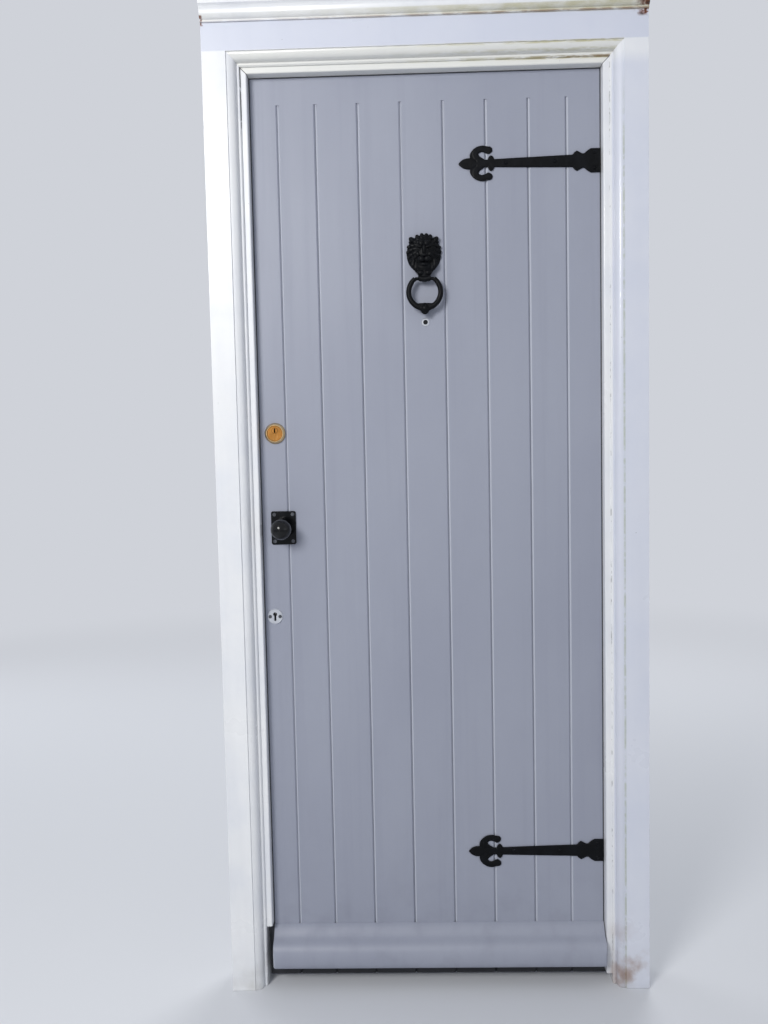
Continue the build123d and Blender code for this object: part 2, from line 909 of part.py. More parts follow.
def hinge_leaf(foot, side):
    """Half a butt hinge: side is 1 for the jamb's half and -1 for the leaf's."""
    face = rebate_half if side > 0 else leaf_right
    plate = (min(face, face + side * hinge_plate), max(face, face + side * hinge_plate))
    own = [number for number in range(knuckle_count) if (number % 2 == 0) == (side > 0)]
    with BuildPart() as half:
        block(plate, (hinge_y - hinge_plate_width, hinge_y), (foot, foot + hinge_length))
        for number in range(knuckle_count):
            low, high = knuckle_limits(foot, number)
            if number in own:
                with Locations((hinge_x, hinge_y, low)):
                    Cylinder(
                        knuckle_radius, high - low, align=standing
                    )
            else:
                slot = (hinge_y - knuckle_radius - knuckle_gap, hinge_y)
                block(plate, slot, (low - knuckle_gap, high + knuckle_gap), Mode.SUBTRACT)
        with Locations((hinge_x, hinge_y, foot)):
            Cylinder(
                pin_radius + running_clearance,
                hinge_length,
                align=standing,
                mode=Mode.SUBTRACT,
            )
        with Locations(*hinge_screw_planes(foot, side)):
            countersunk(hinge_plate, screw_clearance, Mode.SUBTRACT)
    return half


hinge_frame_leaves = {place: hinge_leaf(foot, 1) for place, foot in hinge_feet.items()}
hinge_door_leaves = {place: hinge_leaf(foot, -1) for place, foot in hinge_feet.items()}

with BuildPart() as hinge_pins:
    for foot in hinge_feet.values():
        with Locations((hinge_x, hinge_y, foot)):
            Cylinder(pin_radius, hinge_length, align=standing)
            Cylinder(pin_head_radius, pin_head, align=hanging)
        with Locations((hinge_x, hinge_y, foot + hinge_length)):
            Cylinder(pin_head_radius, pin_head, align=standing)


def keep_screw_planes(centre_z, height):
    """The two screws of a keep plate."""
    reach = height / 2 - 2 * screw_head_radius
    return [
        Plane(origin=(-rebate_half, lock_y, centre_z + sign * reach), z_dir=(1, 0, 0))
        for sign in (-1, 1)
    ]


def keep(centre_z, height, bolt_width, bolt_height):
    """A keep plate let into the jamb, with a hole for its bolt."""
    with BuildPart() as plate:
        block(
            (-rebate_half - keep_plate, -rebate_half),
            (lock_y - keep_width / 2, lock_y + keep_width / 2),
            (centre_z - height / 2, centre_z + height / 2),
        )
        block(
            (-rebate_half - keep_plate, -rebate_half),
            (
                lock_y - bolt_width / 2 - keep_hole_clearance,
                lock_y + bolt_width / 2 + keep_hole_clearance,
            ),
            (
                centre_z - bolt_height / 2 - keep_hole_clearance,
                centre_z + bolt_height / 2 + keep_hole_clearance,
            ),
            Mode.SUBTRACT,
        )
        with Locations(*keep_screw_planes(centre_z, height)):
            countersunk(keep_plate, screw_clearance, Mode.SUBTRACT)
    return plate


latch_keep = keep(knob_z, latch_keep_height, latch_bolt_width, latch_bolt_height)
deadlock_keep = keep(dead_bolt_z, deadlock_keep_height, dead_bolt_thickness, dead_bolt_height)

# The staple on the jamb's inner face: a box with a flange, open towards the leaf
staple_screws = [
    Plane(
        origin=(
            -rebate_half - staple_width / 2,
            leaf_back + staple_flange,
            plug_z + sign * (staple_flange_half_height + staple_half_height) / 2,
        ),
        z_dir=inward,
    )
    for sign in (-1, 1)
]
bolt_front = leaf_back + nightlatch_bolt_stand
bolt_back = bolt_front + nightlatch_bolt_thickness
with BuildPart() as nightlatch_staple:
    block(
        (-rebate_half - staple_width, -rebate_half),
        (leaf_back, nightlatch_back),
        (plug_z - staple_half_height, plug_z + staple_half_height),
    )
    fillet(
        nightlatch_staple.edges().filter_by(Axis.Z).group_by(Axis.Y)[-1].sort_by(Axis.X)[0],
        2 * nightlatch_wall,
    )
    block(
        (-rebate_half - staple_width, -rebate_half),
        (leaf_back, leaf_back + staple_flange),
        (plug_z - staple_flange_half_height, plug_z + staple_flange_half_height),
    )
    block(
        (-rebate_half - staple_width + 2 * nightlatch_wall, -rebate_half),
        (bolt_front - keep_hole_clearance, bolt_back + keep_hole_clearance),
        (plug_z - staple_mouth_half_height, plug_z + staple_mouth_half_height),
        Mode.SUBTRACT,
    )
    with Locations(*staple_screws):
        countersunk(staple_flange, screw_clearance, Mode.SUBTRACT)

with BuildPart() as frame_screws:
    for foot in hinge_feet.values():
        with Locations(*hinge_screw_planes(foot, 1)):
            countersunk()
    with Locations(
        *keep_screw_planes(knob_z, latch_keep_height),
        *keep_screw_planes(dead_bolt_z, deadlock_keep_height),
        *staple_screws,
    ):
        countersunk()

# The latch: a tube with a faceplate, and the bolt that the knobs draw back
faceplate_screw_reach = (faceplate_height - 3 * screw_head_radius) / 2
faceplate_screws = [
    Plane(origin=(leaf_left, lock_y, knob_z + sign * faceplate_screw_reach), z_dir=(-1, 0, 0))
    for sign in (-1, 1)
]
with BuildPart() as latch_case:
    with Locations(Plane(origin=(leaf_left + faceplate, lock_y, knob_z), z_dir=(1, 0, 0))):
        Cylinder(
            latch_case_radius, latch_case_length, align=standing
        )
    block(
        (leaf_left, leaf_left + faceplate),
        (lock_y - faceplate_width / 2, lock_y + faceplate_width / 2),
        (knob_z - faceplate_height / 2, knob_z + faceplate_height / 2),
    )
    block(
        (leaf_left, leaf_left + latch_bolt_length + slide_clearance),
        (
            lock_y - latch_bolt_width / 2 - slide_clearance,
            lock_y + latch_bolt_width / 2 + slide_clearance,
        ),
        (
            knob_z - latch_bolt_height / 2 - slide_clearance,
            knob_z + latch_bolt_height / 2 + slide_clearance,
        ),
        Mode.SUBTRACT,
    )
    rod_through(knob_x, knob_z, follower_hole_radius, (leaf_face, leaf_back))
    with Locations(*faceplate_screws):
        countersunk(faceplate, screw_clearance, Mode.SUBTRACT)

with BuildPart() as latch_bolt:
    bolt_low = lock_y - latch_bolt_width / 2
    bolt_high = lock_y + latch_bolt_width / 2
    with BuildSketch(Plane.XY.offset(knob_z - latch_bolt_height / 2)):
        with BuildLine():
            Polyline(
                (leaf_left + latch_bolt_length, bolt_low),
                (leaf_left + latch_bevel, bolt_low),
                (leaf_left, bolt_high - bolt_nose),
                (leaf_left, bolt_high),
                (leaf_left + latch_bolt_length, bolt_high),
                close=True,
            )
        make_face()
    extrude(amount=latch_bolt_height)

# The deadlock: a hollow case behind its forend, and a square bolt over the keyhole
forend_screws = [
    Plane(origin=(leaf_left, lock_y, z), z_dir=(-1, 0, 0))
    for z in (forend_bottom + forend_margin / 2, forend_top - forend_margin / 2)
]
with BuildPart() as deadlock_case:
    case_half = deadlock_case_thickness / 2
    case_left = leaf_left + faceplate
    block(
        (case_left, case_left + deadlock_case_depth),
        (lock_y - case_half, lock_y + case_half),
        (keyhole_z - deadlock_case_below, keyhole_z + deadlock_case_above),
    )
    block(
        (case_left, case_left + deadlock_case_depth - deadlock_wall),
        (lock_y - case_half + deadlock_wall, lock_y + case_half - deadlock_wall),
        (
            keyhole_z - deadlock_case_below + deadlock_wall,
            keyhole_z + deadlock_case_above - deadlock_wall,
        ),
        Mode.SUBTRACT,
    )
    block(
        (leaf_left, leaf_left + faceplate),
        (lock_y - forend_width / 2, lock_y + forend_width / 2),
        (forend_bottom, forend_top),
    )
    block(
        (leaf_left, leaf_left + faceplate),
        (
            lock_y - dead_bolt_thickness / 2 - slide_clearance,
            lock_y + dead_bolt_thickness / 2 + slide_clearance,
        ),
        (dead_bolt_bottom - slide_clearance, dead_bolt_top + slide_clearance),
        Mode.SUBTRACT,
    )
    with BuildSketch(front_plane(lock_y + case_half)):
        keyhole(
            keyhole_head_radius + keyhole_ease / 2,
            keyhole_slot + keyhole_ease,
            keyhole_overall + keyhole_ease,
        )
    extrude(amount=deadlock_case_thickness, mode=Mode.SUBTRACT)
    with Locations(*forend_screws):
        countersunk(faceplate, screw_clearance, Mode.SUBTRACT)

with BuildPart() as dead_bolt:
    block(
        (leaf_left, leaf_left + dead_bolt_length),
        (lock_y - dead_bolt_thickness / 2, lock_y + dead_bolt_thickness / 2),
        (dead_bolt_bottom, dead_bolt_top),
    )

# An escutcheon on each face of the leaf
escutcheon_screws = []
with BuildPart() as escutcheons:
    for face, way in ((leaf_face, outward), (leaf_back, inward)):
        with BuildSketch(Plane(origin=(keyhole_x, face, keyhole_z), x_dir=(1, 0, 0), z_dir=way)):
            Circle(escutcheon_radius)
        extrude(amount=escutcheon_thickness, taper=25)
        top = face + way[1] * escutcheon_thickness
        escutcheon_screws += [
            Plane(
                origin=(keyhole_x + sign * escutcheon_screw_place, top, keyhole_z), z_dir=way
            )
            for sign in (-1, 1)
        ]
    with BuildSketch(front_plane(leaf_back + escutcheon_thickness)):
        keyhole(keyhole_head_radius, keyhole_slot, keyhole_overall)
    extrude(amount=leaf_thickness + 2 * escutcheon_thickness, mode=Mode.SUBTRACT)
    with Locations(*escutcheon_screws):
        countersunk(escutcheon_thickness, screw_clearance, Mode.SUBTRACT)


def knob_plate(face, way):
    """The plate behind a knob, with its corner screws sunk in."""
    with BuildPart() as plate:
        with BuildSketch(Plane(origin=(knob_x, face, knob_z), x_dir=(1, 0, 0), z_dir=way)):
            RectangleRounded(knob_plate_width, knob_plate_height, knob_plate_corner)
            Circle(knob_neck_radius + running_clearance, mode=Mode.SUBTRACT)
        extrude(amount=knob_plate_thickness)
        with Locations(*knob_plate_screws(face, way)):
            countersunk(knob_plate_thickness, screw_clearance, Mode.SUBTRACT)
    return plate


def knob_plate_screws(face, way):
    """The heads of a knob plate's four screws."""
    across = knob_plate_width / 2 - knob_plate_screw_inset
    up = knob_plate_height / 2 - knob_plate_screw_inset
    top = face + way[1] * knob_plate_thickness
    return [
        Plane(origin=(knob_x + i * across, top, knob_z + j * up), z_dir=way)
        for i in (-1, 1)
        for j in (-1, 1)
    ]


outer_knob_plate = knob_plate(leaf_face, outward)
inner_knob_plate = knob_plate(leaf_back, inward)


def knob_body(face, way):
    """Turn a knob on the latch's axis: its neck, collar, waist and ball."""
    ball = knob_projection - knob_radius
    meeting = ball - (knob_radius**2 - knob_waist_radius**2) ** 0.5
    collar_foot = knob_plate_thickness + knob_collar_stand
    collar_top = collar_foot + knob_collar_edge + knob_collar_width
    plane = Plane(origin=(knob_x, face, knob_z), x_dir=(1, 0, 0), z_dir=(0, 0, way[1]))
    with BuildPart() as knob:
        with BuildSketch(plane):
            with BuildLine():
                Polyline(
                    (0, knob_projection),
                    (0, running_clearance),
                    (knob_neck_radius, running_clearance),
                    (knob_neck_radius, collar_foot),
                    (knob_collar_radius, collar_foot + knob_collar_edge),
                    (knob_collar_radius, collar_top - knob_collar_edge),
                    (knob_waist_radius, collar_top + knob_waist_rise),
                    (knob_waist_radius, meeting),
                )
                ThreePointArc(
                    (knob_waist_radius, meeting), (knob_radius, ball), (0, knob_projection)
                )
            make_face()
        revolve(axis=Axis((knob_x, face, knob_z), (0, 1, 0)))
    return knob


outer_ball = knob_body(leaf_face, outward)
inner_ball = knob_body(leaf_back, inward)
with BuildPart() as outer_knob:
    add(outer_ball.part)
    half = spindle_width / 2
    block(
        (knob_x - half, knob_x + half),
        (leaf_face - knob_plate_thickness, leaf_back + spindle_engagement),
        (knob_z - half, knob_z + half),
    )

with BuildPart() as inner_knob:
    add(inner_ball.part)
    socket = spindle_width / 2 + joinery_clearance / 2
    block(
        (knob_x - socket, knob_x + socket),
        (leaf_back, leaf_back + spindle_engagement + joinery_clearance),
        (knob_z - socket, knob_z + socket),
        Mode.SUBTRACT,
    )

# The rim cylinder: a coned ring, the body through the stile and the plug that the key turns
with BuildPart() as cylinder_ring:
    ring_seat = (cylinder_x, leaf_face, cylinder_z)
    with BuildSketch(Plane(origin=ring_seat, x_dir=(1, 0, 0), z_dir=(0, 0, -1))):
        with BuildLine():
            Polyline(
                (cylinder_radius + running_clearance, 0),
                (cylinder_ring_radius, 0),
                (cylinder_ring_radius, cylinder_ring_edge),
                (
                    cylinder_ring_lip + cylinder_ring_rounding,
                    cylinder_ring_depth - cylinder_ring_rounding,
                ),
                (cylinder_ring_lip, cylinder_ring_depth),
                (cylinder_radius + running_clearance, cylinder_ring_depth),
                close=True,
            )
        make_face()
    revolve(axis=Axis(ring_seat, (0, 1, 0)))

plug_front = leaf_face - cylinder_face_depth - plug_stand
plug_back = leaf_face + cylinder_length
with BuildPart() as cylinder_body:
    barrel = (leaf_face - cylinder_face_depth, plug_back)
    rod_through(cylinder_x, cylinder_z, cylinder_radius, barrel, Mode.ADD)
    rod_through(cylinder_x, plug_z, plug_radius + running_clearance, barrel)

with BuildPart() as cylinder_plug:
    rod_through(cylinder_x, plug_z, plug_radius, (plug_front, plug_back), Mode.ADD)
    block(
        (cylinder_x - keyway_width / 2, cylinder_x + keyway_width / 2),
        (plug_front, plug_front + keyway_depth),
        (plug_z - keyway_height / 2, plug_z + keyway_height / 2),
        Mode.SUBTRACT,
    )
    block(
        (cylinder_x - tail_width / 2, cylinder_x + tail_width / 2),
        (plug_back, leaf_back + tail_reach),
        (plug_z - tail_thickness / 2, plug_z + tail_thickness / 2),
    )

# The nightlatch: an open-backed case on the leaf's inner face
nightlatch_left = leaf_left
nightlatch_right = leaf_left + nightlatch_width
snib_z = plug_z + snib_rise
snib_low = cylinder_x - snib_travel
case_screw_reach = nightlatch_half_height - case_screw_inset
case_screws = [
    Plane(origin=(x, nightlatch_back, plug_z + sign * case_screw_reach), z_dir=inward)
    for x, sign in (
        (nightlatch_left + case_screw_inset, -1),
        (nightlatch_left + case_screw_inset, 1),
        (nightlatch_right - case_screw_inset, -1),
    )
]
with BuildPart() as nightlatch_case:
    block(
        (nightlatch_left, nightlatch_right),
        (leaf_back, nightlatch_back),
        (plug_z - nightlatch_half_height, plug_z + nightlatch_half_height),
    )
    fillet(
        nightlatch_case.edges().filter_by(Axis.Z).group_by(Axis.Y)[-1].sort_by(Axis.X)[-1],
        2 * nightlatch_wall,
    )
    block(
        (nightlatch_left + nightlatch_wall, nightlatch_right - nightlatch_wall),
        (leaf_back, nightlatch_back - nightlatch_wall),
        (
            plug_z - nightlatch_half_height + nightlatch_wall,
            plug_z + nightlatch_half_height - nightlatch_wall,
        ),
        Mode.SUBTRACT,
    )
    block(
        (nightlatch_left, nightlatch_left + nightlatch_wall),
        (bolt_front - slide_clearance, bolt_back + slide_clearance),
        (
            plug_z - nightlatch_bolt_half_height - slide_clearance,
            plug_z + nightlatch_bolt_half_height + slide_clearance,
        ),
        Mode.SUBTRACT,
    )
    rod_through(
        cylinder_x, plug_z, turn_spindle_radius + running_clearance, (bolt_back, nightlatch_back)
    )
    block(
        (snib_low - slide_clearance, snib_low + snib_stem + snib_travel + slide_clearance),
        (nightlatch_back - nightlatch_wall, nightlatch_back),
        (
            snib_z - snib_stem_height / 2 - slide_clearance,
            snib_z + snib_stem_height / 2 + slide_clearance,
        ),
        Mode.SUBTRACT,
    )
    with Locations(*case_screws):
        countersunk(nightlatch_wall, screw_clearance, Mode.SUBTRACT)

with BuildPart() as nightlatch_bolt:
    with BuildSketch(Plane.XY.offset(plug_z - nightlatch_bolt_half_height)):
        with BuildLine():
            Polyline(
                (leaf_left + nightlatch_bolt_length, bolt_front),
                (leaf_left + nightlatch_bevel, bolt_front),
                (leaf_left, bolt_back - bolt_nose),
                (leaf_left, bolt_back),
                (leaf_left + nightlatch_bolt_length, bolt_back),
                close=True,
            )
        make_face()
    extrude(amount=2 * nightlatch_bolt_half_height)

with BuildPart() as nightlatch_turn:
    rod_through(
        cylinder_x,
        plug_z,
        turn_spindle_radius,
        (leaf_back + tail_reach + turn_spindle_gap, nightlatch_back + turn_projection / 2),
        Mode.ADD,
    )
    collar_back = nightlatch_back + turn_collar
    rod_through(
        cylinder_x,
        plug_z,
        2 * turn_spindle_radius,
        (nightlatch_back + turn_clearance, collar_back),
        Mode.ADD,
    )
    with BuildSketch(Plane(origin=(cylinder_x, collar_back, plug_z), x_dir=(1, 0, 0), z_dir=inward)):
        SlotOverall(2 * turn_radius, turn_bar_thickness)
    extrude(amount=turn_projection - turn_collar)
    fillet(nightlatch_turn.faces().sort_by(Axis.Y)[-1].edges(), turn_edge)

with BuildPart() as nightlatch_snib:
    stem = (snib_z - snib_stem_height / 2, snib_z + snib_stem_height / 2)
    pad = (snib_z - snib_pad_height / 2, snib_z + snib_pad_height / 2)
    pad_reach = (snib_pad_length - snib_stem) / 2
    pad_x = (snib_low - pad_reach, snib_low + snib_stem + pad_reach)
    block(
        (snib_low, snib_low + snib_stem),
        (nightlatch_back - nightlatch_wall - snib_lap, nightlatch_back + snib_lap),
        stem,
    )
    block(pad_x, (nightlatch_back + slide_clearance, nightlatch_back + snib_pad), pad)
    wall_inside = nightlatch_back - nightlatch_wall
    block(pad_x, (wall_inside - snib_pad, wall_inside - slide_clearance), pad)

# The viewer: a flanged barrel from outside, a sleeve from inside and a lens
with BuildPart() as viewer_barrel:
    rod_through(
        viewer_x, viewer_z, viewer_flange_radius, (leaf_face - viewer_flange, leaf_face), Mode.ADD
    )
    chamfer(viewer_barrel.faces().sort_by(Axis.Y)[0].edges(), viewer_flange / 2)
    rod_through(
        viewer_x, viewer_z, viewer_barrel_radius, (leaf_face, leaf_face + viewer_barrel_length), Mode.ADD
    )
    rod_through(
        viewer_x,
        viewer_z,
        viewer_bore_radius,
        (leaf_face - viewer_flange, leaf_face + viewer_barrel_length),
    )

with BuildPart() as viewer_sleeve:
    sleeve = (leaf_face + viewer_sleeve_start, leaf_back)
    rod_through(viewer_x, viewer_z, viewer_sleeve_radius, sleeve, Mode.ADD)
    rod_through(
        viewer_x, viewer_z, viewer_flange_radius, (leaf_back, leaf_back + viewer_flange), Mode.ADD
    )
    rod_through(
        viewer_x,
        viewer_z,
        viewer_barrel_radius + running_clearance,
        (leaf_face + viewer_sleeve_start, leaf_back + viewer_flange),
    )

with BuildPart() as viewer_lens:
    lens_radius = viewer_bore_radius - running_clearance / 2
    lens_front = leaf_face - viewer_flange / 3
    rod_through(
        viewer_x, viewer_z, lens_radius, (lens_front, lens_front + viewer_lens_depth), Mode.ADD
    )
    fillet(viewer_lens.faces().sort_by(Axis.Y)[0].edges(), viewer_lens_round)


def oval(width, height, up=0.0, across=0.0):
    """Draw an ellipse in a front plane, placed from the middle of the lion's head."""
    with Locations((knocker_x + across, knocker_z + up)):
        Ellipse(width, height)


def swell(sections, across=0.0):
    """Loft a rounded form outward through ellipses: depth, half width, half height, rise."""
    with BuildPart() as form:
        for depth, width, height, up in sections:
            with BuildSketch(front_plane(leaf_face - depth)):
                oval(width, height, up, across)
        loft()
    return form


mane_half_width = knocker_half_width - mane_lobe_radius
mane_half_height = knocker_half_height - mane_lobe_radius
mane_flare = 3.0
inner_share = 0.76
inner_half_width = inner_share * mane_half_width
inner_half_height = inner_share * mane_half_height
mane_base = swell(
    [
        (0.0, mane_half_width + mane_flare, mane_half_height + mane_flare, 0.0),
        (mane_depth, mane_half_width, mane_half_height, 0.0),
    ]
)
inner_mane = swell(
    [
        (0.6 * mane_depth, inner_half_width, inner_half_height, 0.0),
        (inner_mane_depth, inner_half_width, inner_half_height, 0.0),
    ]
)
face_dome = swell(
    [
        (mane_depth, 22.0, 27.0, 0.0),
        (0.75 * face_depth, 19.5, 24.0, 1.0),
        (face_depth, 12.0, 16.0, 3.0),
    ]
)
muzzle = swell(
    [
        (mane_depth, 13.0, 17.0, -14.0),
        (face_depth, 12.0, 14.0, -14.0),
        (snout_depth, 8.0, 8.5, -13.0),
    ]
)
brow_sections = [
    (0.6 * face_depth, 6.5, 4.0, 10.0),
    (face_depth + 2.5, 4.5, 2.4, 10.5),
]
brows = [swell(brow_sections, sign * 8.5) for sign in (-1, 1)]

# The lion's head: two rows of mane locks, ears, a domed face, brows, muzzle and jaw
with BuildPart() as knocker_head:
    for share, radius, depth in (
        (1.0, mane_lobe_radius, mane_depth),
        (inner_share, 0.72 * mane_lobe_radius, inner_mane_depth),
    ):
        rim_x = share * mane_half_width
        rim_z = share * mane_half_height
        turn = 360 / mane_lobes
        for number in range(mane_lobes):
            angle = radians(turn * (number + 0.5) - 90)
            place = (knocker_x + rim_x * cos(angle), leaf_face, knocker_z + rim_z * sin(angle))
            with Locations(Plane(origin=place, z_dir=outward)):
                Cone(radius, 0.75 * radius, depth - 1.0, align=standing)
    for sign in (-1, 1):
        ear_x = knocker_x + sign * 0.42 * knocker_half_width
        ear_z = knocker_z + 0.8 * knocker_half_height
        with Locations(Plane(origin=(ear_x, leaf_face, ear_z), z_dir=outward)):
            Cone(ear_radius, ear_tip_radius, inner_mane_depth + 1.0, align=standing)
    for form in (mane_base, inner_mane, face_dome, muzzle, *brows):
        add(form.part)
    jaw_bottom = trunnion_z - trunnion_radius - running_clearance - jaw_wall
    jaw_top = knocker_z - 0.55 * knocker_half_height
    jaw_front = mouth_y - trunnion_radius - running_clearance - jaw_wall
    with BuildSketch(Plane.YZ.offset(knocker_x - jaw_half_width)):
        with BuildLine():
            Polyline(
                (leaf_face, jaw_top),
                (leaf_face, jaw_bottom + jaw_heel),
                (mouth_y + trunnion_radius, jaw_bottom),
            )
            Line((mouth_y + trunnion_radius, jaw_bottom), (mouth_y, jaw_bottom))
            ThreePointArc(
                (mouth_y, jaw_bottom),
                bowed((mouth_y, jaw_bottom), (jaw_front, trunnion_z), -jaw_round),
                (jaw_front, trunnion_z),
            )
            Polyline((jaw_front, trunnion_z), (jaw_front, jaw_top), (leaf_face, jaw_top))
        make_face()
    extrude(amount=2 * jaw_half_width)
    with Locations(Plane(origin=(knocker_x, mouth_y, trunnion_z), z_dir=(1, 0, 0))):
        Cylinder(trunnion_radius + running_clearance, 4 * jaw_half_width, mode=Mode.SUBTRACT)
    arm_reach = ring_section_radius + 1.0
    for sign in (-1, 1):
        near = knocker_x + sign * jaw_half_width
        far = knocker_x + sign * 2 * knocker_half_width
        block(
            (min(near, far), max(near, far)),
            (mouth_y - 3 * arm_reach, mouth_y + arm_reach),
            (jaw_bottom - arm_reach, trunnion_z + arm_reach),
            Mode.SUBTRACT,
        )
    rod_through(knocker_x, knocker_z, bolt_radius, (leaf_face - thread_depth, leaf_face))

# The ring: a round bar bent through the mouth, with a boss that strikes
with BuildPart() as knocker_ring:
    with BuildLine(front_plane(mouth_y)) as bend:
        ThreePointArc(
            (knocker_x + trunnion_half_length, trunnion_z),
            (knocker_x, ring_z - ring_radius),
            (knocker_x - trunnion_half_length, trunnion_z),
        )
    with BuildSketch(Plane(origin=bend.line @ 0, z_dir=bend.line % 0)):
        Circle(ring_section_radius)
    sweep()
    with Locations(Plane(origin=(knocker_x, mouth_y, trunnion_z), z_dir=(1, 0, 0))):
        Cylinder(trunnion_radius, 2 * trunnion_half_length)
    boss_half = ring_boss_height / 2
    boss_z = ring_z - ring_radius
    with BuildSketch(Plane(origin=(knocker_x, mouth_y, boss_z), x_dir=(1, 0, 0), z_dir=outward)):
        with BuildLine():
            Polyline(
                (0, -boss_half),
                (ring_boss_end_radius, -boss_half),
                (ring_boss_radius, -boss_half / 3),
            )
            ThreePointArc(
                (ring_boss_radius, -boss_half / 3),
                (ring_boss_radius + ring_boss_swell, 0),
                (ring_boss_radius, boss_half / 3),
            )
            Polyline(
                (ring_boss_radius, boss_half / 3),
                (ring_boss_end_radius, boss_half),
                (0, boss_half),
                (0, -boss_half),
            )
        make_face()
    revolve(axis=Axis((knocker_x, mouth_y, boss_z), (0, 0, 1)))

with BuildPart() as knocker_strike:
    strike_front = mouth_y + ring_boss_radius + ring_boss_swell + strike_clearance
    rod_through(knocker_x, strike_z, strike_radius, (strike_front, leaf_face), Mode.ADD)
    chamfer(knocker_strike.faces().sort_by(Axis.Y)[0].edges(), strike_edge)
    rod_through(knocker_x, strike_z, bolt_radius, (leaf_face - thread_depth, leaf_face))

with BuildPart() as knocker_bolts:
    for z, seat in ((knocker_z, board_back), (strike_z, leaf_back)):
        rod_through(
            knocker_x,
            z,
            bolt_radius - running_clearance,
            (leaf_face - thread_depth + running_clearance, seat),
            Mode.ADD,
        )
        rod_through(knocker_x, z, bolt_head_radius, (seat, seat + bolt_head_height), Mode.ADD)


def strap_screw_planes(height):
    """The dome screws of one hinge front: two in its base and two along the bar."""
    base = strap_base_length / 2
    up = strap_base_height / 2 - 2 * dome_radius
    bar = strap_collar_place + 0.25 * (fleur_band_place - strap_collar_place)
    far = strap_collar_place + 0.8 * (fleur_band_place - strap_collar_place)
    return [
        Plane(origin=(strap_end - across, leaf_face - strap_thickness, height + rise), z_dir=outward)
        for across, rise in ((base, -up), (base, up), (bar, 0.0), (far, 0.0))
    ]


def hinge_front(height):
    """A tapered strap with a stepped base, a collar, a band and a fleur-de-lis tip."""

    def place(along, up):
        return (strap_end - along, height + up)

    base_half = strap_base_height / 2
    neck_half = strap_neck_height / 2
    collar_half = strap_collar_height / 2
    neck = (strap_base_length + strap_collar_place) / 2
    petal_root = strap_length - fleur_petal_length
    petal_middle = petal_root + fleur_middle_share * fleur_petal_length
    shoulder_half = strap_base_shoulder_share * base_half
    straight = strap_base_straight_share * strap_base_length
    lead_half = collar_lead_share * collar_half
    tail_half = collar_tail_share * collar_half
    side_top = fleur_height / 2 - fleur_stroke / 2
    with BuildPart() as strap:
        with BuildSketch(front_plane(leaf_face)):
            with BuildLine():
                Polyline(
                    place(0, -base_half),
                    place(0, base_half),
                    place(straight, base_half),
                    place(strap_base_length, shoulder_half),
                    place(neck - strap_neck_length, neck_half),
                    place(neck, neck_half),
                    place(strap_collar_place - collar_lead, lead_half),
                    place(strap_collar_place, collar_half),
                    place(strap_collar_place + collar_tail, tail_half),
                    place(strap_collar_place + collar_length, strap_root_height / 2),
                    place(petal_root, strap_tip_height / 2),
                    place(petal_root, -strap_tip_height / 2),
                    place(strap_collar_place + collar_length, -strap_root_height / 2),
                    place(strap_collar_place + collar_tail, -tail_half),
                    place(strap_collar_place, -collar_half),
                    place(strap_collar_place - collar_lead, -lead_half),
                    place(neck, -neck_half),
                    place(neck - strap_neck_length, -neck_half),
                    place(strap_base_length, -shoulder_half),
                    place(straight, -base_half),
                    close=True,
                )
            make_face()
            with Locations(place(fleur_band_place, 0)):
                Ellipse(fleur_band_half_width, fleur_band_height / 2)
            with BuildLine():
                tip = place(strap_length, 0)
                root = place(petal_root - fleur_tip_overlap, 0)
                ThreePointArc(root, place(petal_middle, fleur_petal_height / 2), tip)
                ThreePointArc(tip, place(petal_middle, -fleur_petal_height / 2), root)
            make_face()
        extrude(amount=strap_thickness)
        chamfer(strap.faces().sort_by(Axis.Y)[0].edges(), strap_edge)
        with BuildSketch(front_plane(leaf_face)):
            for sign in (-1, 1):
                start = place(petal_root - curl_root_overlap, sign * curl_root_rise)
                far = place(petal_root + curl_reach, sign * curl_far_share * side_top)
                top = place(petal_root - curl_crown_back, sign * side_top)
                end = place(fleur_band_place + curl_end_past_band, sign * curl_end_share * side_top)
                with BuildLine() as curl:
                    Spline(start, far, top, end)
                trace(lines=curl.line, line_width=fleur_stroke)
                with Locations(end):
                    Circle(fleur_bulb_radius)
        extrude(amount=strap_thickness - strap_edge / 2)
    return strap


upper_hinge_front = hinge_front(upper_strap_z)
lower_hinge_front = hinge_front(lower_strap_z)

with BuildPart() as strap_screws:
    with Locations(*strap_screw_planes(upper_strap_z), *strap_screw_planes(lower_strap_z)):
        Cone(dome_radius, dome_top_radius, dome_height, align=standing)

with BuildPart() as leaf_screws:
    for foot in hinge_feet.values():
        with Locations(*hinge_screw_planes(foot, -1)):
            countersunk()
    with Locations(*faceplate_screws, *forend_screws):
        countersunk(screw_length / 2)
    with Locations(
        *escutcheon_screws,
        *knob_plate_screws(leaf_face, outward),
        *knob_plate_screws(leaf_back, inward),
    ):
        countersunk(screw_length / 2)
    with Locations(*case_screws):
        countersunk(nightlatch_depth + screw_length / 2)

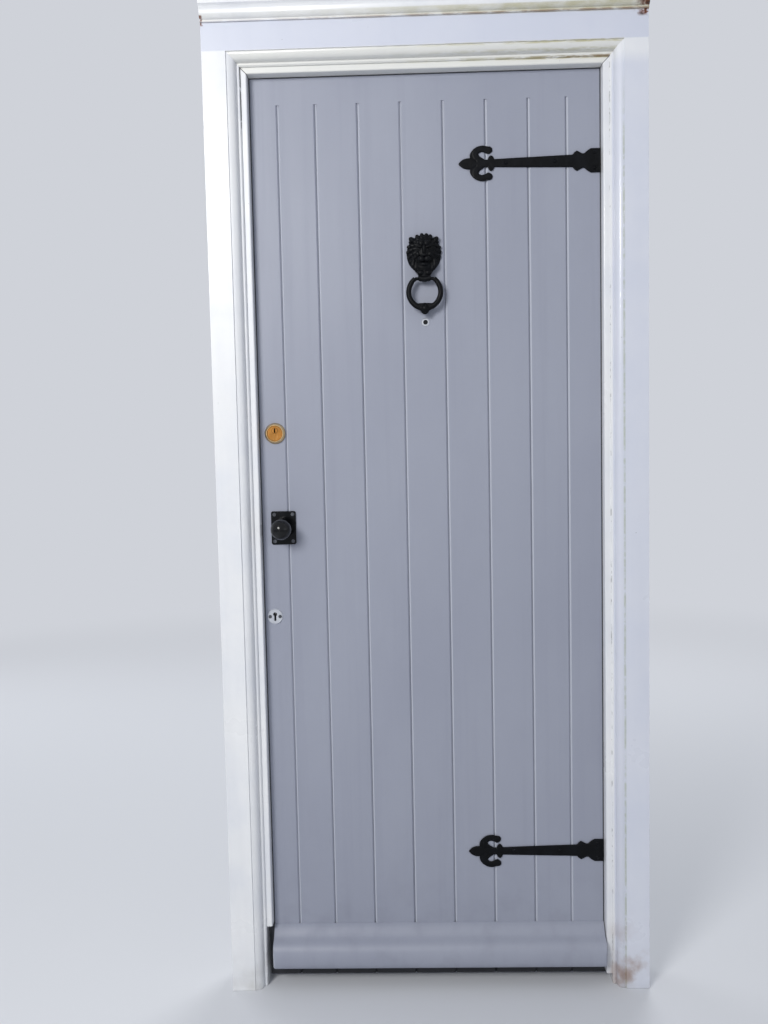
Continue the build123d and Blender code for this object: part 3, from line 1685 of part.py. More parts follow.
pieces = {
    "lock_jamb": lock_jamb,
    "hinge_jamb": hinge_jamb,
    "head": head,
    "drip_moulding": drip_moulding,
    "lock_bead": lock_bead,
    "hinge_bead": hinge_bead,
    "head_bead": head_bead,
    "hinge_pins": hinge_pins,
    "nightlatch_staple": nightlatch_staple,
    "latch_keep": latch_keep,
    "deadlock_keep": deadlock_keep,
    "frame_screws": frame_screws,
    "lock_stile": lock_stile,
    "hinge_stile": hinge_stile,
    "top_rail": top_rail,
    "middle_rail": middle_rail,
    "bottom_rail": bottom_rail,
    "upper_brace": upper_brace,
    "lower_brace": lower_brace,
    "weatherboard": weatherboard,
    "upper_hinge_front": upper_hinge_front,
    "lower_hinge_front": lower_hinge_front,
    "strap_screws": strap_screws,
    "knocker_head": knocker_head,
    "knocker_strike": knocker_strike,
    "knocker_bolts": knocker_bolts,
    "knocker_ring": knocker_ring,
    "viewer_barrel": viewer_barrel,
    "viewer_sleeve": viewer_sleeve,
    "viewer_lens": viewer_lens,
    "cylinder_ring": cylinder_ring,
    "cylinder_body": cylinder_body,
    "cylinder_plug": cylinder_plug,
    "nightlatch_case": nightlatch_case,
    "nightlatch_bolt": nightlatch_bolt,
    "nightlatch_turn": nightlatch_turn,
    "nightlatch_snib": nightlatch_snib,
    "outer_knob_plate": outer_knob_plate,
    "inner_knob_plate": inner_knob_plate,
    "outer_knob": outer_knob,
    "inner_knob": inner_knob,
    "latch_case": latch_case,
    "latch_bolt": latch_bolt,
    "deadlock_case": deadlock_case,
    "dead_bolt": dead_bolt,
    "escutcheons": escutcheons,
    "leaf_screws": leaf_screws,
}
pieces.update(boards)
for place in hinge_feet:
    pieces[f"hinge_{place}_frame_leaf"] = hinge_frame_leaves[place]
    pieces[f"hinge_{place}_door_leaf"] = hinge_door_leaves[place]

for name, piece in pieces.items():
    piece.part.label = name
    export_step(piece.part, f"parts/{name}.step")
    print(name, len(piece.part.solids()), "solids")
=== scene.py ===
"""A boarded entrance door in its frame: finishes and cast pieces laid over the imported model."""

from __future__ import annotations

import json
import logging
import math
import random
from collections.abc import Callable
from dataclasses import dataclass, field
from enum import Enum

import bmesh
import bpy
from mathutils import Matrix, Vector, noise

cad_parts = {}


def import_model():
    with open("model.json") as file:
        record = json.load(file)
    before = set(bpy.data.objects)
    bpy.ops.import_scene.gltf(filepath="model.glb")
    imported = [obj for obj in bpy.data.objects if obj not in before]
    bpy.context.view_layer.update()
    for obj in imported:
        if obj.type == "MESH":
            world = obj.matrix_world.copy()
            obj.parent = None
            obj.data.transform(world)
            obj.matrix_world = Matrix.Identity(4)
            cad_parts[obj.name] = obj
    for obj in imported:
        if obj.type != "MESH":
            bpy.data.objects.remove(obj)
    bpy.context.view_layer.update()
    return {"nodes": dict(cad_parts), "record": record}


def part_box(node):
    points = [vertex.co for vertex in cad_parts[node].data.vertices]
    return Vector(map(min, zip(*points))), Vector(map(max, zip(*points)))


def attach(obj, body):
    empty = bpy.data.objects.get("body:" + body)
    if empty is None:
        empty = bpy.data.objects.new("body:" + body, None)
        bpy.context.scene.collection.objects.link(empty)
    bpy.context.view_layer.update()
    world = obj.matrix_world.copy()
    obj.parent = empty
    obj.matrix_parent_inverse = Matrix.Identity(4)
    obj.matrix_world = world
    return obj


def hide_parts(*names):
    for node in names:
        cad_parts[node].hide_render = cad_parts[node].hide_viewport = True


LOG = logging.getLogger("door")
MM = 0.001
SAME_PLACE = 1e-5
BALL_DETAIL = 3
LOCK_STEPS = 5
BORE_SIDES = 40
Number = int | float
Colour = tuple[float, float, float]


def srgb(red: int, green: int, blue: int) -> Colour:
    """Turn a screen colour, 0 to 255, into linear light."""
    return tuple(
        value / 12.92 if value <= 0.04045 else ((value + 0.055) / 1.055) ** 2.4
        for value in (red / 255, green / 255, blue / 255)
    )


def arithmetic(operation: str, first: bool = True) -> Callable[[Socket, Socket | Number], Socket]:
    """Make an operator that adds a Math node, with its own value first or last."""

    def apply(own: Socket, other: Socket | Number) -> Socket:
        """Work on one other value."""
        return own.math(operation, other, first=first)

    return apply


class Socket:
    """One output of a shader graph that takes part in Python arithmetic."""

    __add__ = __radd__ = arithmetic("ADD")
    __sub__ = arithmetic("SUBTRACT")
    __rsub__ = arithmetic("SUBTRACT", first=False)
    __mul__ = __rmul__ = arithmetic("MULTIPLY")
    __pow__ = arithmetic("POWER")
    most = arithmetic("MAXIMUM")

    def __init__(self, graph: Graph, output: bpy.types.NodeSocket | None) -> None:
        """Keep the graph and its output, which is None for a closing node."""
        self.graph = graph
        self.output = output

    def math(self, operation: str, *others: Socket | Number, first: bool = True) -> Socket:
        """Add a Math node, with this value first or last among the operation's values."""
        values = (self, *others) if first else (*others, self)
        return self.graph.node(
            "ShaderNodeMath", {"operation": operation}, dict(enumerate(values))
        )

    def __abs__(self) -> Socket:
        """Take the size without the sign."""
        return self.math("ABSOLUTE")

    def ease(self, low: Number, high: Number) -> Socket:
        """Rise smoothly from 0 at low to 1 at high; low may be the larger."""
        if low > high:
            return 1 - self.ease(high, low)
        return self.graph.node(
            "ShaderNodeMapRange",
            {"interpolation_type": "SMOOTHSTEP"},
            {"Value": self, "From Min": low, "From Max": high},
        )

    def near(self, place: Number, reach: Number) -> Socket:
        """Be 1 at a place and fall smoothly to 0 at reach from it."""
        return abs(self - place).ease(reach, 0.0)

    def band(self, low: Number, high: Number, soft: Number) -> Socket:
        """Be 1 between two values and fall to 0 over a soft edge outside them."""
        return self.ease(low - soft, low) * self.ease(high + soft, high)

    def other(self, output: str) -> Socket:
        """Give another output of the same node."""
        return Socket(self.graph, self.output.node.outputs[output])


class Rounded(Enum):
    """Which edges of a wooden node are rounded."""

    MARKED = "WEIGHT"
    SHARP = "ANGLE"


class Body(Enum):
    """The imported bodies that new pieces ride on."""

    LEAF = "leaf"
    RING = "knocker_ring"


class Graph:
    """One node tree, built by calls."""

    def __init__(self, owner: bpy.types.Material | bpy.types.World) -> None:
        """Take over a material's or a world's tree and clear it."""
        owner.use_nodes = True
        self.owner = owner
        self.tree = owner.node_tree
        self.tree.nodes.clear()

    @classmethod
    def named(cls, name: str) -> Graph:
        """Start a new material."""
        return cls(bpy.data.materials.new(name))

    def node(
        self,
        kind: str,
        settings: dict[str, object] | None = None,
        sockets: dict[str | int, object] | None = None,
        output: str | int = 0,
    ) -> Socket:
        """Add one node.

        Args:
            kind: The node's type.
            settings: Its properties, set first.
            sockets: The values and links of its inputs, by name or number.
            output: The output to hand back.

        Returns:
            That output.
        """
        made = self.tree.nodes.new(kind)
        for key, value in (settings or {}).items():
            setattr(made, key, value)
        for key, value in (sockets or {}).items():
            if isinstance(value, Socket):
                self.tree.links.new(value.output, made.inputs[key])
            elif isinstance(value, tuple) and made.inputs[key].type == "RGBA":
                made.inputs[key].default_value = (*value[:3], 1.0)
            else:
                made.inputs[key].default_value = value
        return Socket(self, made.outputs[output] if len(made.outputs) else None)

    def place(self) -> Socket:
        """Give the point on the piece, in metres, which stays with the piece as it moves."""
        return self.node("ShaderNodeTexCoord", output="Object")

    def axes(self) -> tuple[Socket, Socket, Socket]:
        """Give the point's three parts, in millimetres."""
        apart = self.node("ShaderNodeVectorMath", {"operation": "SCALE"},
                          {0: self.place(), "Scale": 1000.0})
        across = self.node("ShaderNodeSeparateXYZ", {}, {0: apart})
        return across, across.other("Y"), across.other("Z")

    def from_axis(self, place: Vector) -> Socket:
        """Give the distance in millimetres from the line straight back through a place."""
        x, _, z = self.axes()
        across, up = x - place.x, z - place.z
        return (across * across + up * up) ** 0.5

    def crevice(self, reach: Number, open_at: Number, shut_at: Number) -> Socket:
        """Give 1 in corners narrower than reach, in metres, and 0 on open faces."""
        return self.node("ShaderNodeAmbientOcclusion", {"samples": 6}, {"Distance": reach},
                         "AO").ease(open_at, shut_at)

    def stretched(self, across: Number, deep: Number, up: Number) -> Socket:
        """Give the point scaled along each axis, for grain and streaks."""
        return self.node("ShaderNodeVectorMath", {"operation": "MULTIPLY"},
                         {0: self.place(), 1: (across, deep, up)})

    def speckle(self, scale: Number, detail: Number = 3.0, place: Socket | None = None,
                rough: Number = 0.5) -> Socket:
        """Add a noise about 0.5, of scale waves to the metre, on the piece or at a place."""
        return self.node(
            "ShaderNodeTexNoise", {},
            {"Vector": place or self.place(), "Scale": scale, "Detail": detail,
             "Roughness": rough}, "Fac",
        )

    def mix(self, share: Socket | Number, first: Socket | Colour,
            second: Socket | Colour) -> Socket:
        """Mix two colours by the share of the second."""
        return self.node(
            "ShaderNodeMix", {"data_type": "RGBA", "blend_type": "MIX"},
            {0: share, 6: first, 7: second}, 2,
        )

    def bump(self, height: Socket, depth: Number, strength: Number = 1.0) -> Socket:
        """Turn a height of 0 to 1 into a normal, where 1 stands for depth in metres."""
        return self.node(
            "ShaderNodeBump", {},
            {"Height": height, "Distance": depth, "Strength": strength},
        )

    def worn_edge(self, radius: Number) -> Socket:
        """Give 1 on convex edges and 0 elsewhere, softer for a larger radius."""
        return self.node("ShaderNodeNewGeometry", output="Pointiness").ease(0.5, 0.5 + radius)

    def surface(self, sockets: dict[str, object]) -> bpy.types.Material:
        """Close the graph with one surface shader and give the finished material."""
        shader = self.node("ShaderNodeBsdfPrincipled", {}, sockets)
        self.node("ShaderNodeOutputMaterial", {}, {"Surface": shader})
        return self.owner


@dataclass(frozen=True)
class FramePaint:
    """White gloss paint on the frame, with the dirt that lies along its ledges and painted shade
    on the head, down the hinge jamb, in corners and in the rebate by the weatherboard.
    """

    drip: tuple[Vector, Vector]
    bead: tuple[Vector, Vector]
    weatherboard: tuple[Vector, Vector]
    name: str = "frame_paint"
    white: Colour = srgb(235, 236, 238)
    cool: Colour = srgb(216, 220, 229)
    cream: Colour = srgb(223, 222, 213)
    shade_lavender: Colour = srgb(192, 198, 219)
    moss: Colour = srgb(168, 160, 96)
    algae: Colour = srgb(172, 180, 156)
    rust: Colour = srgb(112, 58, 26)
    knot: Colour = srgb(42, 27, 20)
    soot_and_shade: Colour = srgb(52, 50, 50)
    moulding: float = 25.0

    def build(self) -> bpy.types.Material:
        """Make the material."""
        g = Graph.named(self.name)
        broad = g.speckle(9.0, 4.0)
        brushed = g.speckle(30.0, 3.0, g.stretched(1.0, 1.0, 0.06))
        patchy = g.speckle(26.0, 5.0, g.stretched(1.0, 1.0, 2.2), 0.6)
        colour = g.mix(broad.ease(0.35, 0.75) * 0.5, self.white, self.cool)
        colour = g.mix(brushed.ease(0.45, 0.8) * 0.16, colour, srgb(203, 206, 212))
        colour, ledges = self._ledges(g, colour, patchy)
        colour = self._rust(g, colour, patchy)
        colour = self._cracks(g, colour)
        # Painted shade: darker grey in corners and in the mouldings' grooves.
        colour = g.mix(g.crevice(0.010, 0.5, 0.1) * 0.28, colour, srgb(128, 126, 120))
        height = brushed * 0.55 + g.speckle(420.0, 2.0) * 0.15 + broad * 0.3
        return g.surface({
            "Base Color": colour,
            "Roughness": broad.ease(0.3, 0.8) * 0.14 + 0.27 + ledges * 0.3,
            "Normal": g.bump(height, 0.0005, 0.55),
            "Coat Weight": 0.12,
        })

    def _ledges(self, g: Graph, colour: Socket, patchy: Socket) -> tuple[Socket, Socket]:
        """Lay painted shade, a lavender tint, and the green and yellow dirt along the head and the
        hinge jamb.

        Args:
            g: The graph.
            colour: The paint so far.
            patchy: A blotchy noise.

        Returns:
            The dirtied and shaded paint and where the dirt lies.
        """
        x, y, z = g.axes()
        front = self._front(y)
        foot = self.drip[0].z
        top = self.bead[1].z
        rightward = x.ease(-380.0, 330.0) * 0.8 + 0.2
        side = self.bead[1].x
        flat = z.band(top + self.moulding + 2.0, foot - 1.0, 3.0)
        # Painted shade: a cool lavender tint on the head's flat and down the hinge jamb.
        shaded = flat.most(x.ease(side + 2.0, side + 6.0) * z.ease(top + 8.0, top - 30.0) * 0.8)
        colour = g.mix(shaded * front * 0.6, colour, self.shade_lavender)
        above = (z - abs(x)).ease(top - side - 0.6, top - side + 0.6)
        aged = above * z.ease(top + self.moulding + 1.0, top + self.moulding - 1.0)
        colour = g.mix(aged * front * 0.6, colour, self.cream)
        streak = g.speckle(30.0, 4.0, g.stretched(1.0, 1.0, 7.0), 0.6).ease(0.36, 0.6)
        cove = z.band(foot + 1.0, foot + 12.0, 4.0) * (patchy.ease(0.3, 0.7) * 0.45 + 0.45)
        quirks = z.near(top + self.moulding - 1.5, 4.0).most(z.near(top, 4.5)).most(
            z.near(top + 10.0, 5.0) * 0.6)
        shelf = quirks * above * x.ease(-200.0, 330.0) * streak * 0.75
        ledges = (cove * rightward * 0.8).most(shelf) * front
        colour = g.mix(ledges, colour, self.moss)
        stained = z.near(top + 0.5, 3.2) * above * x.ease(120.0, 370.0) * streak * 0.6
        colour = g.mix(stained * front, colour, self.rust)
        edge = self.bead[1].x + self.moulding - 1.0
        line = x.near(edge, 3.4) * z.ease(1995.0, 1780.0) * patchy.ease(0.3, 0.6)
        return g.mix(line * front * 0.6, colour, self.algae), ledges

    def _front(self, y: Socket) -> Socket:
        """Tell the weathered side, in front of the leaf's face, from the inner side."""
        return y.ease(self.weatherboard[1].y + 4.0, self.weatherboard[1].y)

    def _rust(self, g: Graph, colour: Socket, patchy: Socket) -> Socket:
        """Stain the drip's foot and ends and the hinge jamb's foot.

        Args:
            g: The graph.
            colour: The paint so far.
            patchy: A blotchy noise.

        Returns:
            The stained paint.
        """
        x, y, z = g.axes()
        front = self._front(y)
        foot = self.drip[0].z
        end = self.drip[1].x
        grit = g.speckle(75.0, 5.0, rough=0.6)
        line = z.near(foot + 1.0, 2.4) * (x.ease(-420.0, 300.0) * 0.6 + 0.2)
        left = x.ease(7.0 - end, 3.0 - end) * z.band(foot - 5.0, foot + 9.0, 3.0)
        right = x.ease(end - 34.0, end - 8.0) * z.band(foot - 8.0, foot + 18.0, 8.0)
        spread = left.most(right) * grit.ease(0.4, 0.54) * front
        seam = line * patchy.ease(0.36, 0.54) * front * 0.85
        colour = g.mix(seam.most(spread), colour, self.rust)
        colour = g.mix(spread * grit.ease(0.5, 0.64), colour, self.knot)
        splash = z.ease(190.0, 5.0) * x.ease(360.0, 400.0) * g.speckle(17.0, 5.0).ease(0.4, 0.66)
        colour = g.mix(splash * front * 0.75, colour, srgb(139, 98, 62))
        damp = z.ease(110.0, 0.0) * g.speckle(14.0, 5.0).ease(0.4, 0.7)
        return g.mix(damp * 0.35, colour, srgb(158, 152, 138))

    def _cracks(self, g: Graph, colour: Socket) -> Socket:
        """Draw the open joints, the chips, and painted shade in the rebate beside the
        weatherboard, mottled like grime.

        Args:
            g: The graph.
            colour: The paint so far.

        Returns:
            The marked paint.
        """
        x, y, z = g.axes()
        side = self.bead[1].x
        broken = g.speckle(48.0, 4.0, rough=0.65)
        below = z.ease(self.bead[1].z + 0.5, self.bead[1].z - 0.5)
        joint = x.near(-side, 1.2) * z.ease(1850.0, 1890.0) * broken.ease(0.36, 0.46) * below
        dashes = x.near(side, 1.2) * broken.ease(0.53, 0.6) * below * 0.45
        corner = z.band(self.bead[1].z - 13.0, self.bead[1].z, 0.5)
        mitre = (z - abs(x)).near(self.bead[1].z - side, 1.6) * corner
        # Painted shade: a dark, mottled patch on the lock jamb's rebate cheek beside the
        # weatherboard's end.
        shadow = x.ease(-side + 3.0, -side + 1.0) * x.ease(-side - 3.0, -side - 1.0)
        rebate_shade = z.ease(self.weatherboard[1].z + 5.0, self.weatherboard[1].z + 3.0) * shadow
        edge = self.weatherboard[0].y
        outermost = y.ease(edge + 16.0, edge + 5.0) * 0.7
        inner = y.ease(edge, edge + 3.0) * (outermost + broken.ease(0.35, 0.6) * 0.3)
        chips = g.node("ShaderNodeTexVoronoi", {}, {"Vector": g.place(), "Scale": 24.0})
        flecks = chips.ease(0.032, 0.014) * g.speckle(7.0, 2.0).ease(0.5, 0.62) * 0.7
        shown = y.ease(self.bead[0].y + 12.0, self.bead[0].y + 6.0)
        # The joints, mitres and chips are dark paint marks; the rebate's patch is painted shade.
        marks = (joint.most(dashes) * shown).most(mitre).most(flecks).most(rebate_shade * inner)
        return g.mix(marks, colour, self.soot_and_shade)


@dataclass(frozen=True)
class LeafPaint:
    """Cool light grey satin paint, brushed on along the boards, with painted shade in the grooves,
    round the edges, under the weatherboard and in the bores, and a painted highlight on the
    grooves' left-facing sides.
    """

    opening: tuple[float, float]
    weatherboard: tuple[Vector, Vector]
    bores: tuple[tuple[Vector, float], ...]
    name: str = "leaf_paint"
    grey: Colour = srgb(148, 152, 167)
    pale: Colour = srgb(156, 160, 174)
    dull: Colour = srgb(134, 138, 154)
    lit: Colour = srgb(196, 200, 210)
    grime_and_shade: Colour = srgb(78, 80, 92)
    dark: Colour = srgb(14, 15, 19)

    def build(self) -> bpy.types.Material:
        """Make the material."""
        g = Graph.named(self.name)
        x, y, z = g.axes()
        broad = g.speckle(4.0, 3.0, g.stretched(1.0, 1.0, 0.5))
        streaks = g.speckle(34.0, 4.0, g.stretched(1.0, 1.0, 0.035), 0.6)
        grain = g.speckle(85.0, 4.0, g.stretched(1.0, 1.0, 0.05), 0.65)
        colour = g.mix(broad.ease(0.3, 0.7) * 0.7, self.grey, self.pale)
        colour = g.mix(streaks.ease(0.48, 0.78) * 0.22, colour, self.dull)
        splash = z.ease(330.0, 60.0) * g.speckle(16.0, 5.0).ease(0.46, 0.72)
        colour = g.mix(splash * 0.12, colour, self.grime_and_shade)
        colour = g.mix(g.speckle(150.0, 3.0).ease(0.55, 0.82) * 0.1, colour, self.dull)
        slope = g.node("ShaderNodeSeparateXYZ", {},
                       {0: g.node("ShaderNodeTexCoord", output="Normal")})
        # Painted shade: grime-coloured darkening in the V grooves and corners, except on
        # left-facing sides.
        colour = g.mix(g.crevice(0.007, 0.55, 0.08) * slope.ease(-0.2, 0.2) * 0.6, colour,
                       self.grime_and_shade)
        # Painted highlight: the grooves' left-facing sides made paler.
        colour = g.mix(slope.ease(-0.3, -0.6) * slope.ease(-0.95, -0.8) * 0.7, colour, self.lit)
        # Painted shade: near black along the opening's edge behind the stops, on the foot under
        # the weatherboard and inside the bores.
        edge = abs(x).ease(self.opening[0] - 3.6, self.opening[0] - 1.6)
        edge = edge.most(z.ease(self.opening[1] - 3.4, self.opening[1] - 1.4))
        shade = z.ease(self.weatherboard[0].z + 1.0, self.weatherboard[0].z - 1.0)
        face = self.weatherboard[1].y
        painted_shade = edge * y.band(face - 0.4, face + 3.0, 0.3) * 0.9
        painted_shade = painted_shade.most(shade * y.ease(face + 30.0, face + 6.0) * 0.95)
        for place, radius in self.bores:
            inside = g.from_axis(place).ease(radius + 0.6, radius - 0.4)
            painted_shade = painted_shade.most(inside * y.ease(face + 0.6, face + 2.0))
        colour = g.mix(painted_shade, colour, self.dark)
        height = streaks * 0.35 + grain * 0.4 + g.speckle(300.0, 2.0) * 0.25
        return g.surface({
            "Base Color": colour,
            "Roughness": streaks.ease(0.3, 0.8) * 0.1 + 0.42 + splash * 0.2,
            "Normal": g.bump(height, 0.0005, 0.5),
            "Coat Weight": 0.04,
        })


@dataclass(frozen=True)
class PaintedFitting:
    """A small metal fitting painted over with the leaf, with painted shade inside its keyhole."""

    keyhole: Vector
    name: str = "painted_fitting"
    grey: Colour = srgb(172, 176, 186)
    pale: Colour = srgb(186, 190, 198)

    def build(self) -> bpy.types.Material:
        """Make the material."""
        g = Graph.named(self.name)
        patches = g.speckle(60.0, 4.0)
        skin = g.speckle(500.0, 3.0)
        colour = g.mix(patches.ease(0.35, 0.7), self.grey, self.pale)
        colour = g.mix(g.worn_edge(0.08) * 0.35, colour, srgb(205, 208, 214))
        x, y, z = g.axes()
        # Painted shade: near black inside the keyhole and its bore.
        slot = abs(x - self.keyhole.x).ease(3.2, 2.4) * z.band(
            self.keyhole.z - 13.0, self.keyhole.z + 8.0, 0.8)
        inside = slot.most(g.from_axis(self.keyhole).ease(6.2, 5.4)) * g.crevice(0.004, 0.8, 0.4)
        colour = g.mix(inside, colour, srgb(16, 17, 20))
        return g.surface({
            "Base Color": colour,
            "Roughness": skin.ease(0.3, 0.7) * 0.12 + 0.34,
            "Normal": g.bump(patches * 0.6 + skin * 0.4, 0.00035, 0.6),
        })


@dataclass(frozen=True)
class BlackIron:
    """Black painted castings with a faint sheen."""

    name: str = "black_iron"
    black: Colour = srgb(5, 6, 9)
    bloom: Colour = srgb(12, 14, 19)
    dust: Colour = srgb(40, 42, 48)

    def build(self) -> bpy.types.Material:
        """Make the material."""
        g = Graph.named(self.name)
        cast = g.speckle(260.0, 5.0, rough=0.6)
        pits = g.node("ShaderNodeTexVoronoi", {}, {"Vector": g.place(), "Scale": 420.0})
        cloud = g.speckle(38.0, 4.0)
        colour = g.mix(cloud.ease(0.4, 0.75) * 0.8, self.black, self.bloom)
        colour = g.mix(g.worn_edge(0.07) * cast.ease(0.4, 0.7) * 0.2, colour, self.dust)
        return g.surface({
            "Base Color": colour,
            "Specular IOR Level": 0.14,
            "Roughness": cloud.ease(0.3, 0.8) * 0.14 + 0.4,
            "Normal": g.bump(cast * 0.6 + pits * 0.4, 0.0003, 0.6),
        })


@dataclass(frozen=True)
class KnobEnamel:
    """Deep gloss black on the knobs and their plates."""

    name: str = "knob_enamel"
    black: Colour = srgb(6, 7, 9)
    smear: Colour = srgb(17, 19, 23)

    def build(self) -> bpy.types.Material:
        """Make the material."""
        g = Graph.named(self.name)
        smudge = g.speckle(55.0, 4.0)
        colour = g.mix(smudge.ease(0.45, 0.8) * 0.5, self.black, self.smear)
        return g.surface({
            "Base Color": colour,
            "Specular IOR Level": 0.25,
            "Roughness": smudge.ease(0.4, 0.8) * 0.12 + 0.14,
            "Normal": g.bump(g.speckle(240.0, 2.0), 0.0001, 0.4),
            "Coat Weight": 0.2,
            "Coat Roughness": 0.05,
        })


@dataclass(frozen=True)
class LockBrass:
    """Worn polished brass: a cream-gold ring round a deeper turned face, with painted shade in its
    keyway.
    """

    ring: Vector
    plug: Vector
    face: float
    name: str = "lock_brass"
    gold: Colour = srgb(192, 146, 82)
    brown: Colour = srgb(104, 66, 32)
    bright: Colour = srgb(236, 214, 170)
    orange: Colour = srgb(150, 96, 42)
    body_radius: float = 16.2

    def build(self) -> bpy.types.Material:
        """Make the material."""
        g = Graph.named(self.name)
        x, y, z = g.axes()
        radius = g.from_axis(self.ring)
        front = y.ease(self.face + 2.0, self.face)
        wobble = g.speckle(90.0, 3.0)
        rings = (radius * 5.2 + wobble * 1.5).math("SINE") * 0.5 + 0.5
        tarnish = g.speckle(120.0, 5.0).ease(0.4, 0.68)
        scratches = g.speckle(500.0, 4.0, g.stretched(1.0, 1.0, 0.12))
        colour = g.mix(tarnish * 0.5, self.gold, self.brown)
        colour = g.mix(radius.ease(self.body_radius + 1.5, self.body_radius) * front * 0.65,
                       colour, self.orange)
        colour = g.mix(radius.ease(self.body_radius + 0.6, self.body_radius + 2.2) * front * 0.8,
                       colour, self.bright)
        colour = g.mix(scratches.ease(0.55, 0.8) * 0.2, colour, self.bright)
        colour = g.mix(radius.ease(20.6, 22.6) * front * 0.7, colour, self.brown)
        groove = radius.near(self.body_radius, 0.9).most(
            g.from_axis(self.plug).near(6.4, 0.7)) * front * 0.85
        # Painted shade: the keyway made near black. The grooves round the body and the plug are
        # dark joints.
        keyway = abs(x - self.plug.x).ease(1.9, 1.3) * abs(z - self.plug.z).ease(5.4, 4.8) * front
        colour = g.mix(g.crevice(0.004, 0.7, 0.2) * 0.75, colour, srgb(74, 48, 22))
        colour = g.mix(groove.most(keyway), colour, srgb(22, 14, 8))
        return g.surface({
            "Base Color": colour,
            "Metallic": 1.0,
            "Roughness": tarnish * 0.18 + scratches * 0.1 + keyway * 0.4 + 0.24,
            "Normal": g.bump(rings * 0.6 + scratches * 0.4, 0.00006, 0.6),
        })


@dataclass(frozen=True)
class PlainMetal:
    """Bare or plated metal: one tone with fine scratches and light marks, painted shade in its
    crevices and, where a place is given, near black round it.
    """

    name: str
    tone: Colour
    dull: Colour
    smooth: float
    marks: float = 0.3
    pitch: float = 320.0
    crevice_shade: float = 0.4
    shade_at: Vector | None = None

    def build(self) -> bpy.types.Material:
        """Make the material."""
        g = Graph.named(self.name)
        haze = g.speckle(70.0, 4.0).ease(0.4, 0.7)
        drawn = g.speckle(self.pitch, 4.0, g.stretched(1.0, 1.0, 0.08))
        colour = g.mix(haze * self.marks, self.tone, self.dull)
        # Painted shade: darker grey in crevices and corners.
        colour = g.mix(g.crevice(0.003, 0.75, 0.3) * self.crevice_shade, colour, srgb(38, 39, 43))
        metal: Socket | float = 1.0
        # Painted shade: near black, not metallic, round the place behind a keyhole.
        if self.shade_at:
            painted_shade = g.from_axis(self.shade_at).ease(14.0, 11.0)
            colour = g.mix(painted_shade, colour, srgb(9, 9, 11))
            metal = 1 - painted_shade
        return g.surface({
            "Base Color": colour,
            "Metallic": metal,
            "Roughness": drawn.ease(0.3, 0.8) * 0.12 + haze * 0.1 + self.smooth,
            "Normal": g.bump(drawn, 0.00005, 0.5),
        })


@dataclass(frozen=True)
class DarkLens:
    """The viewer's lens: near-black glass with a strong gloss."""

    name: str = "viewer_glass"

    def build(self) -> bpy.types.Material:
        """Make the material."""
        g = Graph.named(self.name)
        film = g.speckle(400.0, 3.0)
        colour = g.mix(film.ease(0.4, 0.8) * 0.4, srgb(4, 4, 6), srgb(13, 14, 19))
        return g.surface({
            "Base Color": colour,
            "Roughness": film.ease(0.5, 0.9) * 0.08 + 0.04,
            "Specular IOR Level": 0.3,
            "Coat Weight": 0.35,
            "Coat Roughness": 0.03,
        })


@dataclass(frozen=True)
class GreyEnamel:
    """Stoved grey enamel on the nightlatch."""

    name: str = "nightlatch_enamel"
    grey: Colour = srgb(122, 125, 126)
    pale: Colour = srgb(142, 145, 146)

    def build(self) -> bpy.types.Material:
        """Make the material."""
        g = Graph.named(self.name)
        hammer = g.node("ShaderNodeTexVoronoi", {"feature": "SMOOTH_F1"},
                        {"Vector": g.place(), "Scale": 330.0})
        cloud = g.speckle(45.0, 4.0)
        colour = g.mix(cloud.ease(0.4, 0.7), self.grey, self.pale)
        colour = g.mix(g.worn_edge(0.08) * 0.5, colour, srgb(176, 177, 176))
        return g.surface({
            "Base Color": colour,
            "Roughness": cloud.ease(0.3, 0.8) * 0.15 + 0.32,
            "Normal": g.bump(hammer, 0.0003, 0.6),
            "Coat Weight": 0.2,
        })


def middle(node: str) -> Vector:
    """Give the middle of a CAD node's box, in millimetres."""
    low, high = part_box(node)
    return (low + high) / 2 / MM


def extent(node: str) -> tuple[Vector, Vector]:
    """Give the two corners of a CAD node's box, in millimetres."""
    low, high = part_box(node)
    return low / MM, high / MM


def pivot(record: dict[str, object], name: str) -> Vector:
    """Give the place, in millimetres, that a joint turns about."""
    joints = {joint["name"]: joint for joint in record["behaviour"]["joints"]}
    return Vector(joints[name]["pos_m"]) / MM


def finishes() -> dict[str, bpy.types.Material]:
    """Make every finish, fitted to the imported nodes' places, by the record's slot."""
    board = extent("weatherboard")
    bead = extent("head_bead")
    keyhole = middle("escutcheons")
    ring = middle("cylinder_ring")
    makers = (
        FramePaint(extent("drip_moulding"), bead, board),
        LeafPaint((board[1].x + 2.0, bead[0].z), board, ((keyhole, 9.0), (ring, 17.0))),
        PaintedFitting(keyhole), BlackIron(), KnobEnamel(),
        LockBrass(ring, middle("cylinder_plug"), board[1].y), DarkLens(), GreyEnamel(),
        PlainMetal("viewer_chrome", srgb(226, 228, 232), srgb(170, 173, 178), 0.12, 0.3, crevice_shade=1.0),
        PlainMetal("fitting_steel", srgb(176, 177, 178), srgb(128, 126, 120), 0.26, 0.5,
                   shade_at=keyhole),
        PlainMetal("bright_screw", srgb(116, 118, 123), srgb(64, 65, 69), 0.2, 0.7, crevice_shade=0.8),
    )
    return {maker.name: maker.build() for maker in makers}


